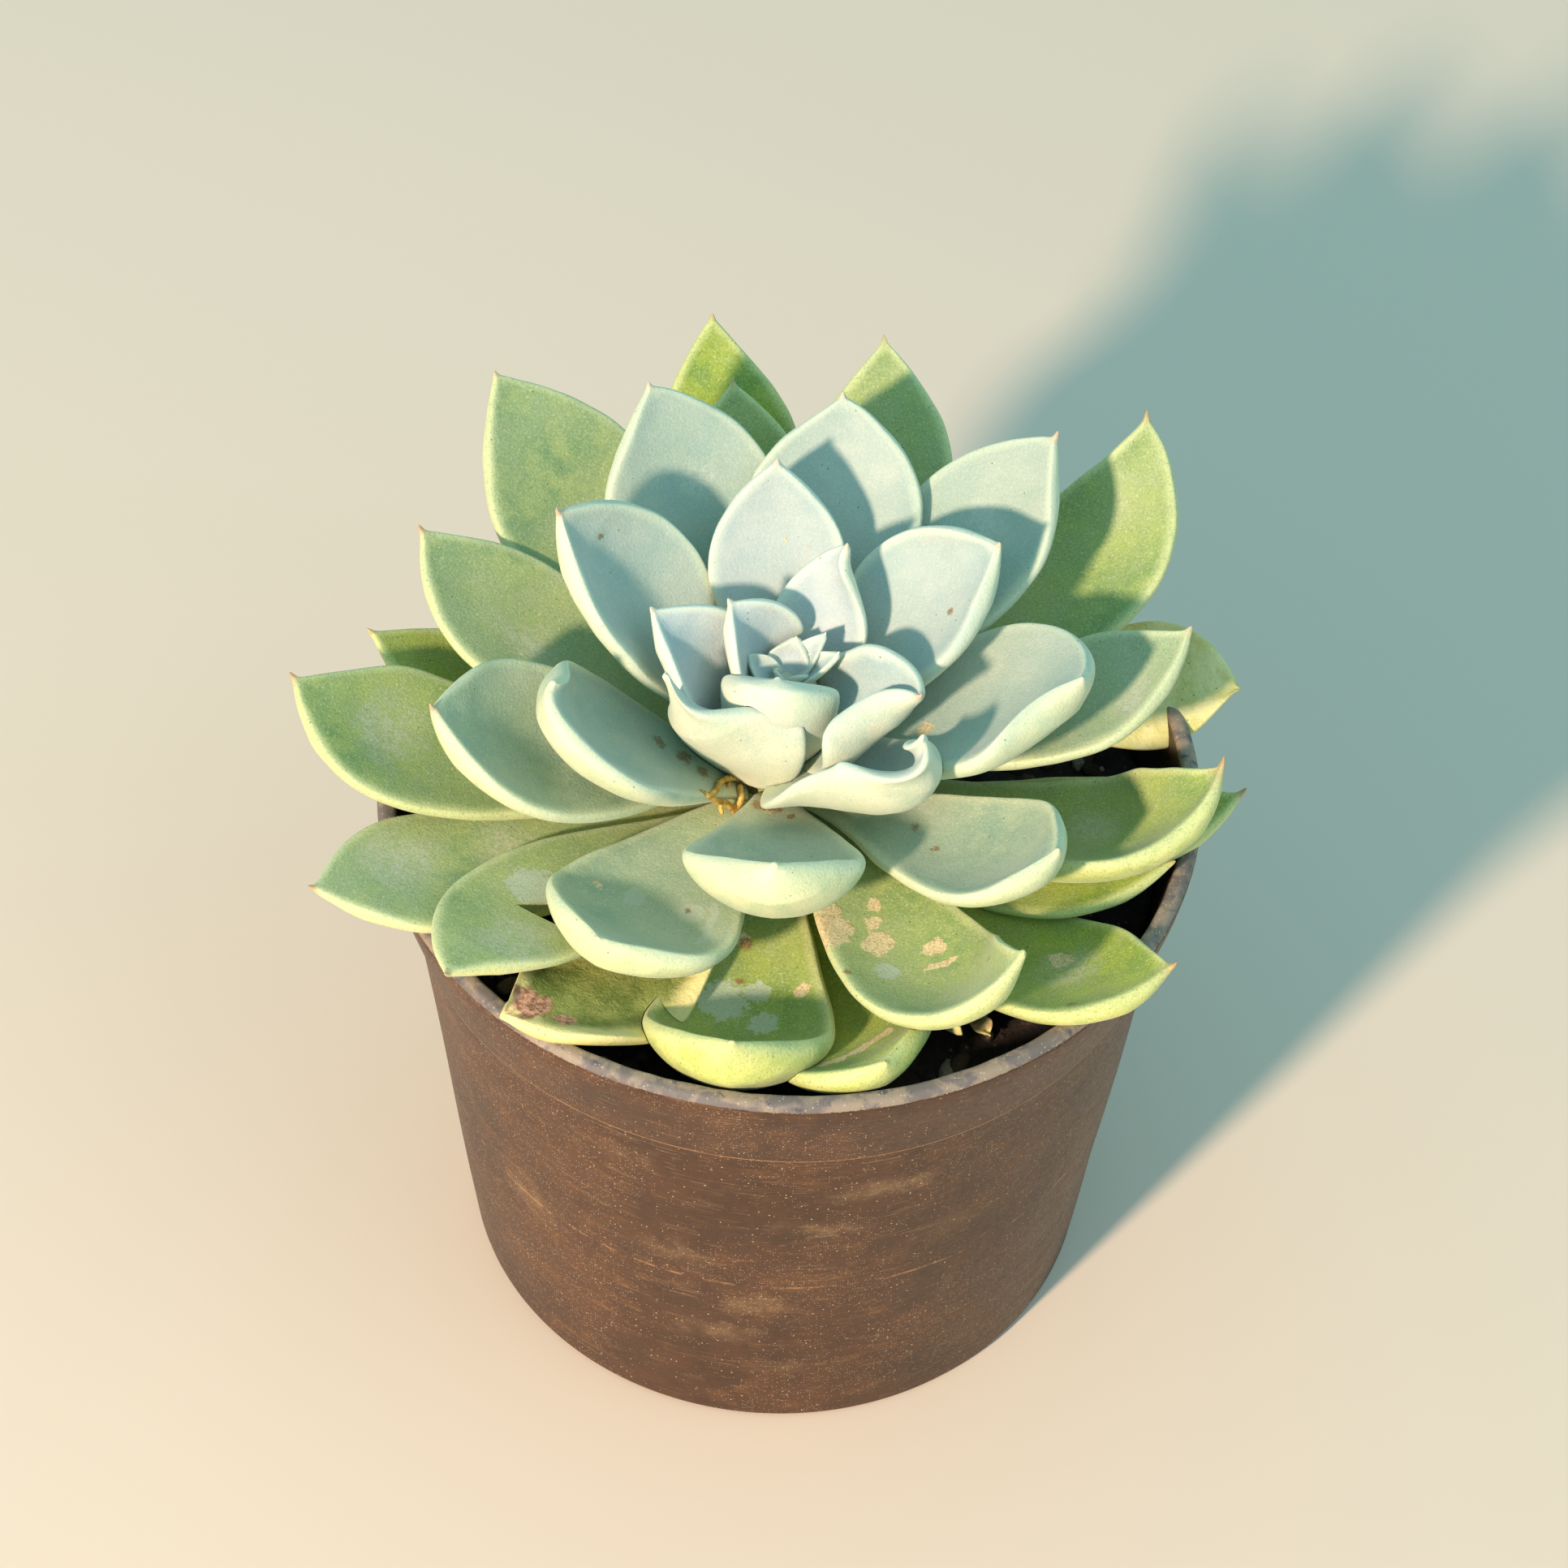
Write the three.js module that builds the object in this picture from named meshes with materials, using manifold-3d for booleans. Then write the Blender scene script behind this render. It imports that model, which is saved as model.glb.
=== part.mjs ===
// A potted Mexican snowball (Echeveria elegans): a rosette of fleshy, spoon-shaped leaves on a short
// stem, growing in a tapered plastic nursery pot. Millimetres, +Z up, origin at the centre of the
// pot's foot. Azimuth 0 is +X and runs anticlockwise seen from above, so 270 faces the viewer.
import * as THREE from "three";
import { mergeVertices } from "three/addons/utils/BufferGeometryUtils.js";
import Module from "manifold-3d";

const wasm = await Module();
wasm.setup();

// Driving dimensions of the pot
const POT_HEIGHT = 81.5;
const RIM_RADIUS = 52;
const FOOT_RADIUS = 41;
const BAND_DEPTH = 14.8;
const BAND_RADIUS = 48.4;
const WALL = 1.8;
const LIP = 2.5;
const FLOOR = 2.2;
const POT_SIDES = 64;
const FOOT_RECESS = 1.2;
const FOOT_RING = 6;
const FOOT_PAD = 14;

// Drain holes in the pot's floor
const DRAIN_COUNT = 6;
const DRAIN_CIRCLE = 27;
const DRAIN_RADIUS = 4;

// Soil and stem
const SOIL_TOP = 70;
const STEM_BOTTOM = 58;
const STEM_RADIUS = 6;
const STEM_SIDES = 20;
const CROWN_START = 84;
const CROWN_TOP = 97;
const PLANT_X = -1.5;
const PLANT_Y = 1;
const SEAT_GAP = 0.3;

// Room kept between two blades that would cross
const CLEAR = 0.35;

const DEG = Math.PI / 180;
const clamp01 = (x) => Math.min(1, Math.max(0, x));
const smooth = (x) => clamp01(x) ** 2 * (3 - 2 * clamp01(x));
const mix = (a, b, t) => a + (b - a) * t;

const PLASTIC = { color: 0x4a3226, roughness: 0.6, metalness: 0 };
const SOIL = { color: 0x2a1d14, roughness: 1, metalness: 0 };
const STEM = { color: 0x8c7a4a, roughness: 0.9, metalness: 0 };
const YOUNG_LEAF = { color: 0xb9d3c6, roughness: 0.75, metalness: 0 };
const OLD_LEAF = { color: 0x8fae6c, roughness: 0.75, metalness: 0 };
const WITHERED_LEAF = { color: 0xb5a95c, roughness: 0.85, metalness: 0 };

const part = new THREE.Group();

function addMesh(name, geometry, look) {
  const mesh = new THREE.Mesh(geometry, new THREE.MeshStandardMaterial(look));
  mesh.name = name;
  part.add(mesh);
}

// Booleans

function solidOf(geometry) {
  const bare = geometry.clone();
  bare.deleteAttribute("normal");
  bare.deleteAttribute("uv");
  const merged = mergeVertices(bare, 1e-4);
  return new wasm.Manifold(
    new wasm.Mesh({
      numProp: 3,
      vertProperties: new Float32Array(merged.attributes.position.array),
      triVerts: new Uint32Array(merged.index.array),
    }),
  );
}

function geometryOf(solid) {
  const mesh = solid.getMesh();
  const geometry = new THREE.BufferGeometry();
  geometry.setAttribute("position", new THREE.BufferAttribute(mesh.vertProperties, 3));
  geometry.setIndex(new THREE.BufferAttribute(mesh.triVerts, 1));
  return geometry;
}

// A solid of revolution about +Z from [radius, height] points that run up the outside and close on the axis.
function turned(points, sides) {
  const profile = points.map(([radius, height]) => new THREE.Vector2(radius, height));
  return new THREE.LatheGeometry(profile, sides).rotateX(Math.PI / 2);
}

function lookOf(leaf) {
  if (leaf.wave) return WITHERED_LEAF;
  return leaf.z > 84 ? YOUNG_LEAF : OLD_LEAF;
}

// Stem: a column out of the soil that closes in a rounded crown, where the youngest leaves sit

function stemRadius(z) {
  if (z <= CROWN_START) return STEM_RADIUS;
  const rise = Math.min(1, (z - CROWN_START) / (CROWN_TOP - CROWN_START));
  return STEM_RADIUS * Math.sqrt(1 - rise * rise);
}

// Leaves. Each midrib runs from a foot on the stem (seat: azimuth, z: height) to a tip given as azimuth,
// radius and height. sag bows it down and sway bows it anticlockwise, both most at two thirds of its
// length. cup is how far each margin turns up, roll tips the whole blade about its midrib, widest is
// where along the blade it is broadest, full is how soon it fills out from the foot (less is sooner),
// head is the way its back faces where that isn't the way it leans, point is how blunt its end is, drawn
// gives it shoulders and a drawn-out tip instead, and wave ripples a withered margin. Where two blades would cross, the row that comes first gives way.
const LEAF_THICKNESS = 0.17;
const BASE_WIDTH = 4.6;
const BASE_THICKNESS = 2;
const STATIONS = [0, 0.13, 0.28, 0.44, 0.59, 0.73, 0.84, 0.92, 0.97, 1];
const TINY_STATIONS = [0, 0.25, 0.5, 0.7, 0.86, 0.95, 1];
const ACROSS = [-1, -0.86, -0.5, 0, 0.5, 0.86, 1];
const TINY_ACROSS = [-1, -0.6, 0, 0.6, 1];

const LEAVES = [
  { name: "dried_leaf", seat: 296, z: 72.5, tip: [301, 42.5, 78], wid: 7, base: 3, sag: 1, cup: 40, wave: 1 },
  { name: "leaf_01", seat: 20, z: 74, tip: [17, 59, 83], wid: 17, base: 3, sag: -1, sway: 4,
    cup: 25, roll: 35, widest: 0.8, full: 2.2, wave: 0.8 },
  { name: "leaf_02", seat: 242, z: 74, tip: [230, 52.5, 83], wid: 20, sag: 1.4, sway: 4.5, cup: 18,
    widest: 0.68, point: 3.4, wave: 1.3 },
  { name: "leaf_03", seat: 335, z: 74.5, tip: [344, 49, 84.5], wid: 18, sag: 2, sway: -1.5, cup: 20 },
  { name: "leaf_04", seat: 288, z: 75, tip: [285, 48.3, 85], wid: 21.5, sag: 7, sway: -1, cup: 30,
    roll: 8, widest: 0.78, point: 3 },
  { name: "leaf_05", seat: 350, z: 76.5, tip: [357, 56, 86], wid: 17, sag: 3.5, sway: -3, cup: 25 },
  { name: "leaf_06", seat: 208, z: 77, tip: [204, 63, 88], wid: 20, sag: 2, cup: 15, widest: 0.7 },
  { name: "leaf_07", seat: 165, z: 77, tip: [164, 56, 89], wid: 17, sag: 3, cup: 20 },
  { name: "leaf_08", seat: 308, z: 77, tip: [325, 57, 88], wid: 21, sag: 6, sway: -4, cup: 30,
    roll: -10, widest: 0.7, point: 2.8 },
  { name: "leaf_09", seat: 222, z: 79, tip: [224.5, 56.5, 90], wid: 19, sag: 2, sway: -3, cup: 10 },
  { name: "leaf_10", seat: 100, z: 77.5, tip: [102, 60, 104], wid: 20, sag: 4.5, cup: 20 },
  { name: "leaf_11", seat: 260, z: 78.5, tip: [263, 49, 90], wid: 25, sag: 11.5, cup: 45, widest: 0.72,
    point: 3 },
  { name: "leaf_12", seat: 104, z: 81.5, tip: [101, 50, 102], wid: 19, sag: 3, cup: 20 },
  { name: "leaf_13", seat: 188, z: 79.5, tip: [179, 62, 96], wid: 22.5, sag: 4, sway: 3, cup: 20,
    widest: 0.7 },
  { name: "leaf_14", seat: 72, z: 81, tip: [80, 56, 105], wid: 20.5, sag: 4.5, sway: -2, cup: 20 },
  { name: "leaf_15", seat: 35, z: 80, tip: [43, 59, 108], wid: 21, sag: 7, sway: -5, cup: 20 },
  { name: "leaf_16", seat: 132, z: 81, tip: [132, 59, 107], wid: 25, sag: 4.5, sway: -1, cup: 20 },
  { name: "leaf_17", seat: 345, z: 79, tip: [351, 53, 97], wid: 22, sag: 8.5, sway: -4, cup: 45,
    roll: -15, widest: 0.7 },
  { name: "leaf_18", seat: 164, z: 82.5, tip: [156, 52, 102], wid: 20, sag: 3.5, sway: 1, cup: 25 },
  { name: "leaf_19", seat: 290, z: 80, tip: [306, 48, 97], wid: 20, sag: 9.5, sway: -4, cup: 34,
    point: 3 },
  { name: "leaf_20", seat: 12, z: 83, tip: [10, 49, 103], wid: 19, sag: 4, sway: -2, cup: 30 },
  { name: "leaf_21", seat: 240, z: 83, tip: [238.5, 43, 94], wid: 25, sag: 5.5, cup: 30, widest: 0.7,
    point: 3 },
  { name: "leaf_22", seat: 315, z: 83, tip: [324, 40, 98], wid: 20, sag: 4.5, sway: -0.5, cup: 35,
    widest: 0.72, point: 2.8 },
  { name: "leaf_23", seat: 205, z: 84, tip: [194, 45, 105], wid: 24, sag: 3.5, cup: 30, roll: -8, point: 2.6 },
  { name: "leaf_24", seat: 119, z: 85, tip: [118, 42, 113], wid: 24, sag: 3, sway: -1, cup: 25 },
  { name: "leaf_25", seat: 42, z: 86, tip: [45, 44, 113], wid: 21.5, sag: 3, sway: 0.7, cup: 25 },
  { name: "leaf_26", seat: 70, z: 87, tip: [83, 38, 112], wid: 23, sag: 2.5, sway: -0.8, cup: 25 },
  { name: "leaf_27", seat: 345, z: 87, tip: [352, 35, 108.5], wid: 25.5, sag: 3.2, sway: 1.8, cup: 33, roll: -5,
    point: 2.6 },
  { name: "leaf_28", seat: 222, z: 84, tip: [200.5, 31, 110.5], wid: 23.5, sag: 4.8, sway: 0.5,
    cup: 34, roll: 6, point: 2.6 },
  { name: "leaf_29", seat: 264, z: 84.5, tip: [267, 30, 101], wid: 24, sag: 6, cup: 45, widest: 0.68, point: 3 },
  { name: "leaf_30", seat: 152, z: 88, tip: [158, 32, 116], wid: 22, sag: 2.5, sway: -1.5, cup: 45,
    head: 148, roll: 5, widest: 0.54 },
  { name: "leaf_31", seat: 266, z: 87.8, tip: [317.5, 21.5, 107.3], wid: 19, sag: 5.6, sway: -1, cup: 60,
    roll: -22, widest: 0.46, full: 0.4, point: 2.6, dents: [[0.8, 0.24, -1, -2.6]] },
  { name: "leaf_32", seat: 35, z: 89.5, tip: [27, 27, 113], wid: 21.5, sag: 2.5, sway: 1.5,
    cup: 45, head: 37, roll: -5, widest: 0.54 },
  { name: "leaf_33", seat: 98, z: 90.5, tip: [98, 24, 114], wid: 17.5, sag: 2.5, cup: 25, widest: 0.54 },
  { name: "leaf_34", seat: 300, z: 90, tip: [335, 16.6, 106.5], wid: 20, sag: 0.5, sway: 2.4, cup: 92, roll: -8,
    widest: 0.44, full: 1.1, point: 1.1, dents: [[0.72, 0.16, 1, -3]] },
  { name: "leaf_36", seat: 50, z: 93, tip: [67, 14, 111], wid: 13, sag: 1.5, sway: 1, cup: 40,
    widest: 0.45, point: 1.6 },
  { name: "leaf_38", seat: 120, z: 94, tip: [146, 10, 108], wid: 13.5, sag: -1, cup: 60, head: 140,
    widest: 0.5 },
  { name: "leaf_37", seat: 180, z: 92, tip: [168, 18, 108], wid: 15.5, sag: -0.5, cup: 55,
    head: 145, widest: 0.5, point: 1.8 },
  { name: "leaf_39", seat: 265, z: 90.5, tip: [243, 4.9, 105.5], wid: 17.2, sag: 1.6, cup: 70, head: 263, roll: 0,
    full: 0.6, point: 6 },
  { name: "leaf_35", seat: 252, z: 87, tip: [202.5, 16.9, 108], wid: 21.5, sag: 1, sway: 0.5,
    cup: 50, head: 245, widest: 0.4, full: 0.6, drawn: 0.9, dents: [[0.82, 0.13, 1, 2.2], [0.48, 0.15, 1, -1.5]] },
];

// How far a margin dips at that place. Each dent has its place along the blade, its spread, side and depth
function dents(leaf, u, v) {
  return (leaf.dents ?? []).reduce(
    (sum, [at, spread, side, depth]) => sum + depth * Math.exp(-(((u - at) / spread) ** 2)) * smooth(side * v), 0);
}

// Half-width of the blade as a share of its widest, from a narrow foot to a pointed tip
function outline(leaf, u) {
  const widest = leaf.widest ?? 0.63;
  const foot = (leaf.base ?? BASE_WIDTH) / leaf.wid;
  if (u < widest) return mix(foot, 1, smooth(0.08 + 0.92 * (u / widest) ** (leaf.full ?? 1)));
  const past = (u - widest) / (1 - widest);
  if (leaf.drawn) return mix(0.5 + 0.5 * Math.cos(Math.PI * past ** leaf.drawn), 1 - past, 0.4);
  return 1 - past ** (leaf.point ?? 2.3);
}

// The midrib's point at u, with the blade's directions there: along it, across it and off its face
function leafFrame(leaf, u) {
  const start = stemRadius(leaf.z) + SEAT_GAP;
  const seat = leaf.seat * DEG;
  const foot = new THREE.Vector3(PLANT_X + start * Math.cos(seat), PLANT_Y + start * Math.sin(seat), leaf.z);
  const [azimuth, radius, height] = leaf.tip;
  const heading = azimuth * DEG;
  const tip = new THREE.Vector3(radius * Math.cos(heading), radius * Math.sin(heading), height);
  const chord = tip.clone().sub(foot);
  const back = leaf.head === undefined ? Math.atan2(chord.y, chord.x) : leaf.head * DEG;
  const side = new THREE.Vector3(-Math.sin(back), Math.cos(back), 0);
  const face = new THREE.Vector3().crossVectors(chord, side).normalize();
  const bow = new THREE.Vector3().addScaledVector(face, -leaf.sag).addScaledVector(side, leaf.sway ?? 0);
  const point = foot.clone().addScaledVector(chord, u).addScaledVector(bow, 6.75 * u * u * (1 - u));
  const along = chord.addScaledVector(bow, 6.75 * (2 * u - 3 * u * u)).normalize();
  const across = leaf.head === undefined ? new THREE.Vector3(-along.y, along.x, 0) : side.clone();
  across.addScaledVector(along, -across.dot(along)).normalize();
  across.applyAxisAngle(along, (leaf.roll ?? 0) * DEG * smooth(u / 0.5));
  const up = new THREE.Vector3().crossVectors(along, across);
  return { point, across, up };
}

// The blade as a closed skin, and with grow more than 0 the same blade that much larger on every side
function leafGeometry(leaf, grow = 0) {
  const stations = leaf.tiny ? TINY_STATIONS : STATIONS;
  const steps = leaf.tiny ? TINY_ACROSS : ACROSS;
  const rings = stations.map((u) => {
    const { point, across, up } = leafFrame(leaf, u);
    const half = (leaf.wid / 2) * outline(leaf, u);
    const curl = Math.max(0.02, leaf.cup * DEG * smooth(u / 0.55));
    const body = leaf.wid * LEAF_THICKNESS;
    const thick = Math.min(mix(BASE_THICKNESS, body, smooth(u / 0.45)), 0.7 + half * 0.45);
    const at = (v, face) => {
      const angle = curl * v;
      const round = (1 - Math.abs(v) ** 2.6) ** (1 / 2.6);
      const swell = round * (face > 0 ? 0.3 * thick + grow : -0.7 * thick - grow);
      const ripple = (leaf.wave ?? 0) * Math.sin(15 * u + v) * v * v * smooth(u / 0.5) - dents(leaf, u, v);
      const spread = half + grow;
      const over = (spread * Math.sin(angle)) / curl - swell * Math.sin(angle);
      const lift = (spread * (1 - Math.cos(angle))) / curl + swell * Math.cos(angle) + ripple;
      return point.clone().addScaledVector(across, over).addScaledVector(up, lift);
    };
    const upper = steps.map((v) => at(v, 1));
    const lower = steps.slice(1, -1).reverse().map((v) => at(v, -1));
    return [...upper, ...lower];
  });
  const count = rings[0].length;
  const last = stations.length - 1;
  const positions = rings.slice(0, last).flat().flatMap((p) => [p.x, p.y, p.z]);
  const end = leafFrame(leaf, 1).point;
  const tip = end.clone().addScaledVector(end.clone().sub(leafFrame(leaf, 0.97).point).normalize(), grow);
  positions.push(tip.x, tip.y, tip.z);
  const tipIndex = count * last;
  const index = [];
  for (let i = 0; i < last - 1; i++) {
    for (let j = 0; j < count; j++) {
      const a = i * count + j;
      const b = i * count + ((j + 1) % count);
      index.push(a, a + count, b, b, a + count, b + count);
    }
  }
  for (let j = 0; j < count; j++) {
    index.push((last - 1) * count + j, tipIndex, (last - 1) * count + ((j + 1) % count));
  }
  const edge = steps.length - 1;
  for (let j = 0; j < edge; j++) {
    const upperA = j;
    const upperB = j + 1;
    const lowerA = (count - j) % count;
    const lowerB = count - j - 1;
    if (upperA !== lowerA) index.push(upperA, upperB, lowerA);
    if (upperB !== lowerB) index.push(upperB, lowerB, lowerA);
  }
  const geometry = new THREE.BufferGeometry();
  geometry.setAttribute("position", new THREE.Float32BufferAttribute(positions, 3));
  geometry.setIndex(index);
  return geometry;
}

// Tiny leaves at the heart, in the same terms, which stand on one small mound
const HEART_LEAVES = [
  { tiny: true, seat: 150, z: 97.6, tip: [159, 6.3, 102.3], wid: 4, base: 3, sag: 0, cup: 50,
    head: 130, widest: 0.5 },
  { tiny: true, seat: 95, z: 97.6, tip: [92, 4.7, 103], wid: 6.5, base: 4, sag: 0.5, cup: 60,
    widest: 0.5, point: 1.7 },
  { tiny: true, seat: 55, z: 97.6, tip: [55, 5.8, 104], wid: 4.5, base: 3, sag: 0, cup: 60,
    widest: 0.5, point: 1.7 },
  { tiny: true, seat: 15, z: 97.6, tip: [19, 5.3, 104], wid: 5, base: 3, sag: 0.3, cup: 60,
    widest: 0.5, point: 1.7 },
  { tiny: true, seat: 200, z: 97.6, tip: [155, 2.8, 101], wid: 3, base: 2.4, sag: 0, cup: 60,
    head: 200, widest: 0.5 },
  { tiny: true, seat: 300, z: 97.6, tip: [20, 1.6, 101], wid: 3, base: 2.4, sag: 0, cup: 60,
    head: 300, widest: 0.5 },
];
const MOUND_RADIUS = 4.2;
const MOUND_TOP = 99.6;

const mound = turned(
  [
    [0, CROWN_TOP + SEAT_GAP],
    [MOUND_RADIUS - 0.6, CROWN_TOP + SEAT_GAP],
    [MOUND_RADIUS, CROWN_TOP + 1],
    [MOUND_RADIUS * 0.7, MOUND_TOP - 0.7],
    [0, MOUND_TOP],
  ],
  16,
).translate(PLANT_X, PLANT_Y, 0);

// Pot

const slope = (BAND_RADIUS - FOOT_RADIUS) / (POT_HEIGHT - BAND_DEPTH);

// The wall's section, and with grow more than 0 the same wall that much thicker on every side
function potSection(grow = 0) {
  return [
    [0, -grow],
    [FOOT_PAD, -grow],
    [FOOT_PAD + 1, FOOT_RECESS - grow],
    [FOOT_RADIUS - FOOT_RING, FOOT_RECESS - grow],
    [FOOT_RADIUS - FOOT_RING + 1, -grow],
    [FOOT_RADIUS - 0.8 + grow, -grow],
    [FOOT_RADIUS + grow, 1],
    [BAND_RADIUS + grow, POT_HEIGHT - BAND_DEPTH],
    [BAND_RADIUS + 0.4 + grow, POT_HEIGHT - BAND_DEPTH + 0.3],
    [RIM_RADIUS - 0.5 + grow, POT_HEIGHT - 4],
    [RIM_RADIUS + grow, POT_HEIGHT - 1],
    [RIM_RADIUS - 0.7 + grow, POT_HEIGHT + grow],
    [RIM_RADIUS - LIP + 0.3 - grow, POT_HEIGHT + grow],
    [RIM_RADIUS - LIP - grow, POT_HEIGHT - 1],
    [BAND_RADIUS - WALL - grow, POT_HEIGHT - BAND_DEPTH],
    [FOOT_RADIUS - WALL + slope * 2 - grow, FOOT_RECESS + FLOOR + 2],
    [FOOT_RADIUS - WALL - 2 - grow, FOOT_RECESS + FLOOR + grow],
    [0, FOOT_RECESS + FLOOR + grow],
  ];
}

const DRAIN_SIDES = 12;
const drains = Array.from({ length: DRAIN_COUNT }, (_, i) => {
  const angle = ((i + 0.5) / DRAIN_COUNT) * 2 * Math.PI;
  const hole = turned([[0, -1], [DRAIN_RADIUS, -1], [DRAIN_RADIUS, 6], [0, 6]], DRAIN_SIDES);
  return solidOf(hole.translate(DRAIN_CIRCLE * Math.cos(angle), DRAIN_CIRCLE * Math.sin(angle), 0));
});
const pot = solidOf(turned(potSection(), POT_SIDES)).subtract(wasm.Manifold.union(drains));

// Soil: fills the pot to a rough top, with a plain hole that the stem stands in

function soilHeight(x, y) {
  const swellings = Math.sin(x * 0.21 + 1) * Math.cos(y * 0.17) + 0.6 * Math.sin(x * 0.43 - y * 0.38);
  return SOIL_TOP + 0.8 * swellings;
}
const soilShape = turned(
  [
    [0, FOOT_RECESS + FLOOR + SEAT_GAP],
    [FOOT_RADIUS - WALL - 2.4, FOOT_RECESS + FLOOR + SEAT_GAP],
    [FOOT_RADIUS - WALL + slope * 2 - 0.4, FOOT_RECESS + FLOOR + 2.1],
    [BAND_RADIUS - WALL - 0.4, POT_HEIGHT - BAND_DEPTH],
    [BAND_RADIUS - WALL - 0.1, SOIL_TOP],
    [40, SOIL_TOP],
    [32, SOIL_TOP],
    [24, SOIL_TOP],
    [16, SOIL_TOP],
    [0, SOIL_TOP],
  ],
  POT_SIDES,
);
const soilPoints = soilShape.attributes.position;
for (let i = 0; i < soilPoints.count; i++) {
  const [x, y, z] = [soilPoints.getX(i), soilPoints.getY(i), soilPoints.getZ(i)];
  if (z > SOIL_TOP - 0.1) soilPoints.setZ(i, soilHeight(x, y));
}
const stemHole = turned(
  [
    [0, STEM_BOTTOM - SEAT_GAP],
    [STEM_RADIUS + SEAT_GAP, STEM_BOTTOM - SEAT_GAP],
    [STEM_RADIUS + SEAT_GAP, SOIL_TOP + 5],
    [0, SOIL_TOP + 5],
  ],
  STEM_SIDES,
).translate(PLANT_X, PLANT_Y, 0);
const soil = solidOf(soilShape).subtract(solidOf(stemHole));

// Stem
const crown = [0, 0.25, 0.45, 0.62, 0.76, 0.87, 0.95].map((t) => {
  const z = mix(CROWN_START, CROWN_TOP, t);
  return [stemRadius(z), z];
});
const stemSection = (grow) => [
  [0, STEM_BOTTOM],
  [STEM_RADIUS + grow, STEM_BOTTOM],
  ...crown.map(([radius, z]) => [radius + grow, z]),
  [0, CROWN_TOP + grow],
];
const stemSolid = (grow) => solidOf(turned(stemSection(grow), STEM_SIDES).translate(PLANT_X, PLANT_Y, 0));

// Every blade is kept clear of the later ones, of the pot and of the stem

const potRoom = solidOf(turned(potSection(CLEAR), POT_SIDES));
const stemRoom = stemSolid(0.2);

// The largest body of a solid, without the slivers that a cut leaves beside it
function largest(solid) {
  const bodies = solid.decompose();
  return bodies.reduce((a, b) => (b.volume() > a.volume() ? b : a));
}

// A torn notch in the near margin of one leaf, as a wedge seen from above
const NOTCHED = "leaf_09";
const notchCorners = [[-33, -25], [-19.5, -32.5], [-26.5, -21.8]];
const notchShape = new THREE.Shape(notchCorners.map(([x, y]) => new THREE.Vector2(x, y)));
const notch = new THREE.ExtrudeGeometry(notchShape, { depth: 20, bevelEnabled: false }).translate(0, 0, 78);

const rooms = LEAVES.map((leaf) => solidOf(leafGeometry(leaf, CLEAR)));
LEAVES.forEach((leaf, i) => {
  const whole = solidOf(leafGeometry(leaf));
  const blade = leaf.name === NOTCHED ? whole.subtract(solidOf(notch)) : whole;
  const near = rooms.slice(i + 1).filter((room) => blade.intersect(room).volume() > 1e-6);
  const cut = wasm.Manifold.union([potRoom, stemRoom, ...near]);
  addMesh(leaf.name, geometryOf(largest(blade.subtract(cut))), lookOf(leaf));
});

const heartLeaves = HEART_LEAVES.map((leaf) => solidOf(leafGeometry(leaf)));
const bud = wasm.Manifold.union([solidOf(mound), ...heartLeaves]);
const heart = bud.subtract(wasm.Manifold.union([stemRoom, ...rooms]));
addMesh("heart", geometryOf(largest(heart)), YOUNG_LEAF);
addMesh("pot", geometryOf(pot), PLASTIC);
addMesh("soil", geometryOf(soil), SOIL);
addMesh("stem", geometryOf(stemSolid(0)), STEM);

export default part;
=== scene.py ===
# The looks of a potted Mexican snowball (Echeveria elegans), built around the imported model.
# Lengths in the tables and in the points are millimetres; every object is in metres, in the model's own frame.
import math

import bmesh
import bpy
import numpy as np
from mathutils import Matrix, Vector, noise
from mathutils.bvhtree import BVHTree
from mathutils.kdtree import KDTree


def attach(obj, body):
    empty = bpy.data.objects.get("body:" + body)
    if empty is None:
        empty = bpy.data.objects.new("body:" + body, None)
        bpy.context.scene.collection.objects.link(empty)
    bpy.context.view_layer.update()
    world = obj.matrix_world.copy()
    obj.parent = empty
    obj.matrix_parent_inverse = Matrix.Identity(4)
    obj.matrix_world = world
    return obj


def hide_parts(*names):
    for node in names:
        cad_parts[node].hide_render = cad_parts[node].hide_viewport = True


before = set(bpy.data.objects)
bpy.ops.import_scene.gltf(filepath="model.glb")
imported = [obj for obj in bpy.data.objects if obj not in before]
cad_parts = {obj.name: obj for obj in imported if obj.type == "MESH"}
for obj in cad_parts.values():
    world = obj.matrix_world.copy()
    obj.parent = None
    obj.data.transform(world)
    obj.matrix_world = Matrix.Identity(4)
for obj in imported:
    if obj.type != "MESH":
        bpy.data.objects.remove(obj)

noise.seed_set(1)  # without it, the noise is another on each run
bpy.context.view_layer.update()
MM = 0.001
PLANT = np.array([-1.5, 1.0, 0.0])

# Pot, soil and stem, as in the model
POT_HEIGHT, RIM_RADIUS, FOOT_RADIUS = 81.5, 52, 41
BAND_DEPTH, BAND_RADIUS = 14.8, 48.4
WALL, LIP, FLOOR = 1.8, 2.5, 2.2
FOOT_RECESS, FOOT_RING, FOOT_PAD = 1.2, 6, 14
DRAIN_COUNT, DRAIN_CIRCLE, DRAIN_RADIUS = 6, 27, 4
SOIL_TOP = 70
STEM_BOTTOM, STEM_RADIUS, CROWN_START, CROWN_TOP = 58, 6, 84, 97
SEAT_GAP = 0.3
GOLDEN_ANGLE = 137.5

# Looks only: heights of the two pale rings on the wall
LINE_HEIGHT, RING_HEIGHT = 66.8, 35.0

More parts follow.
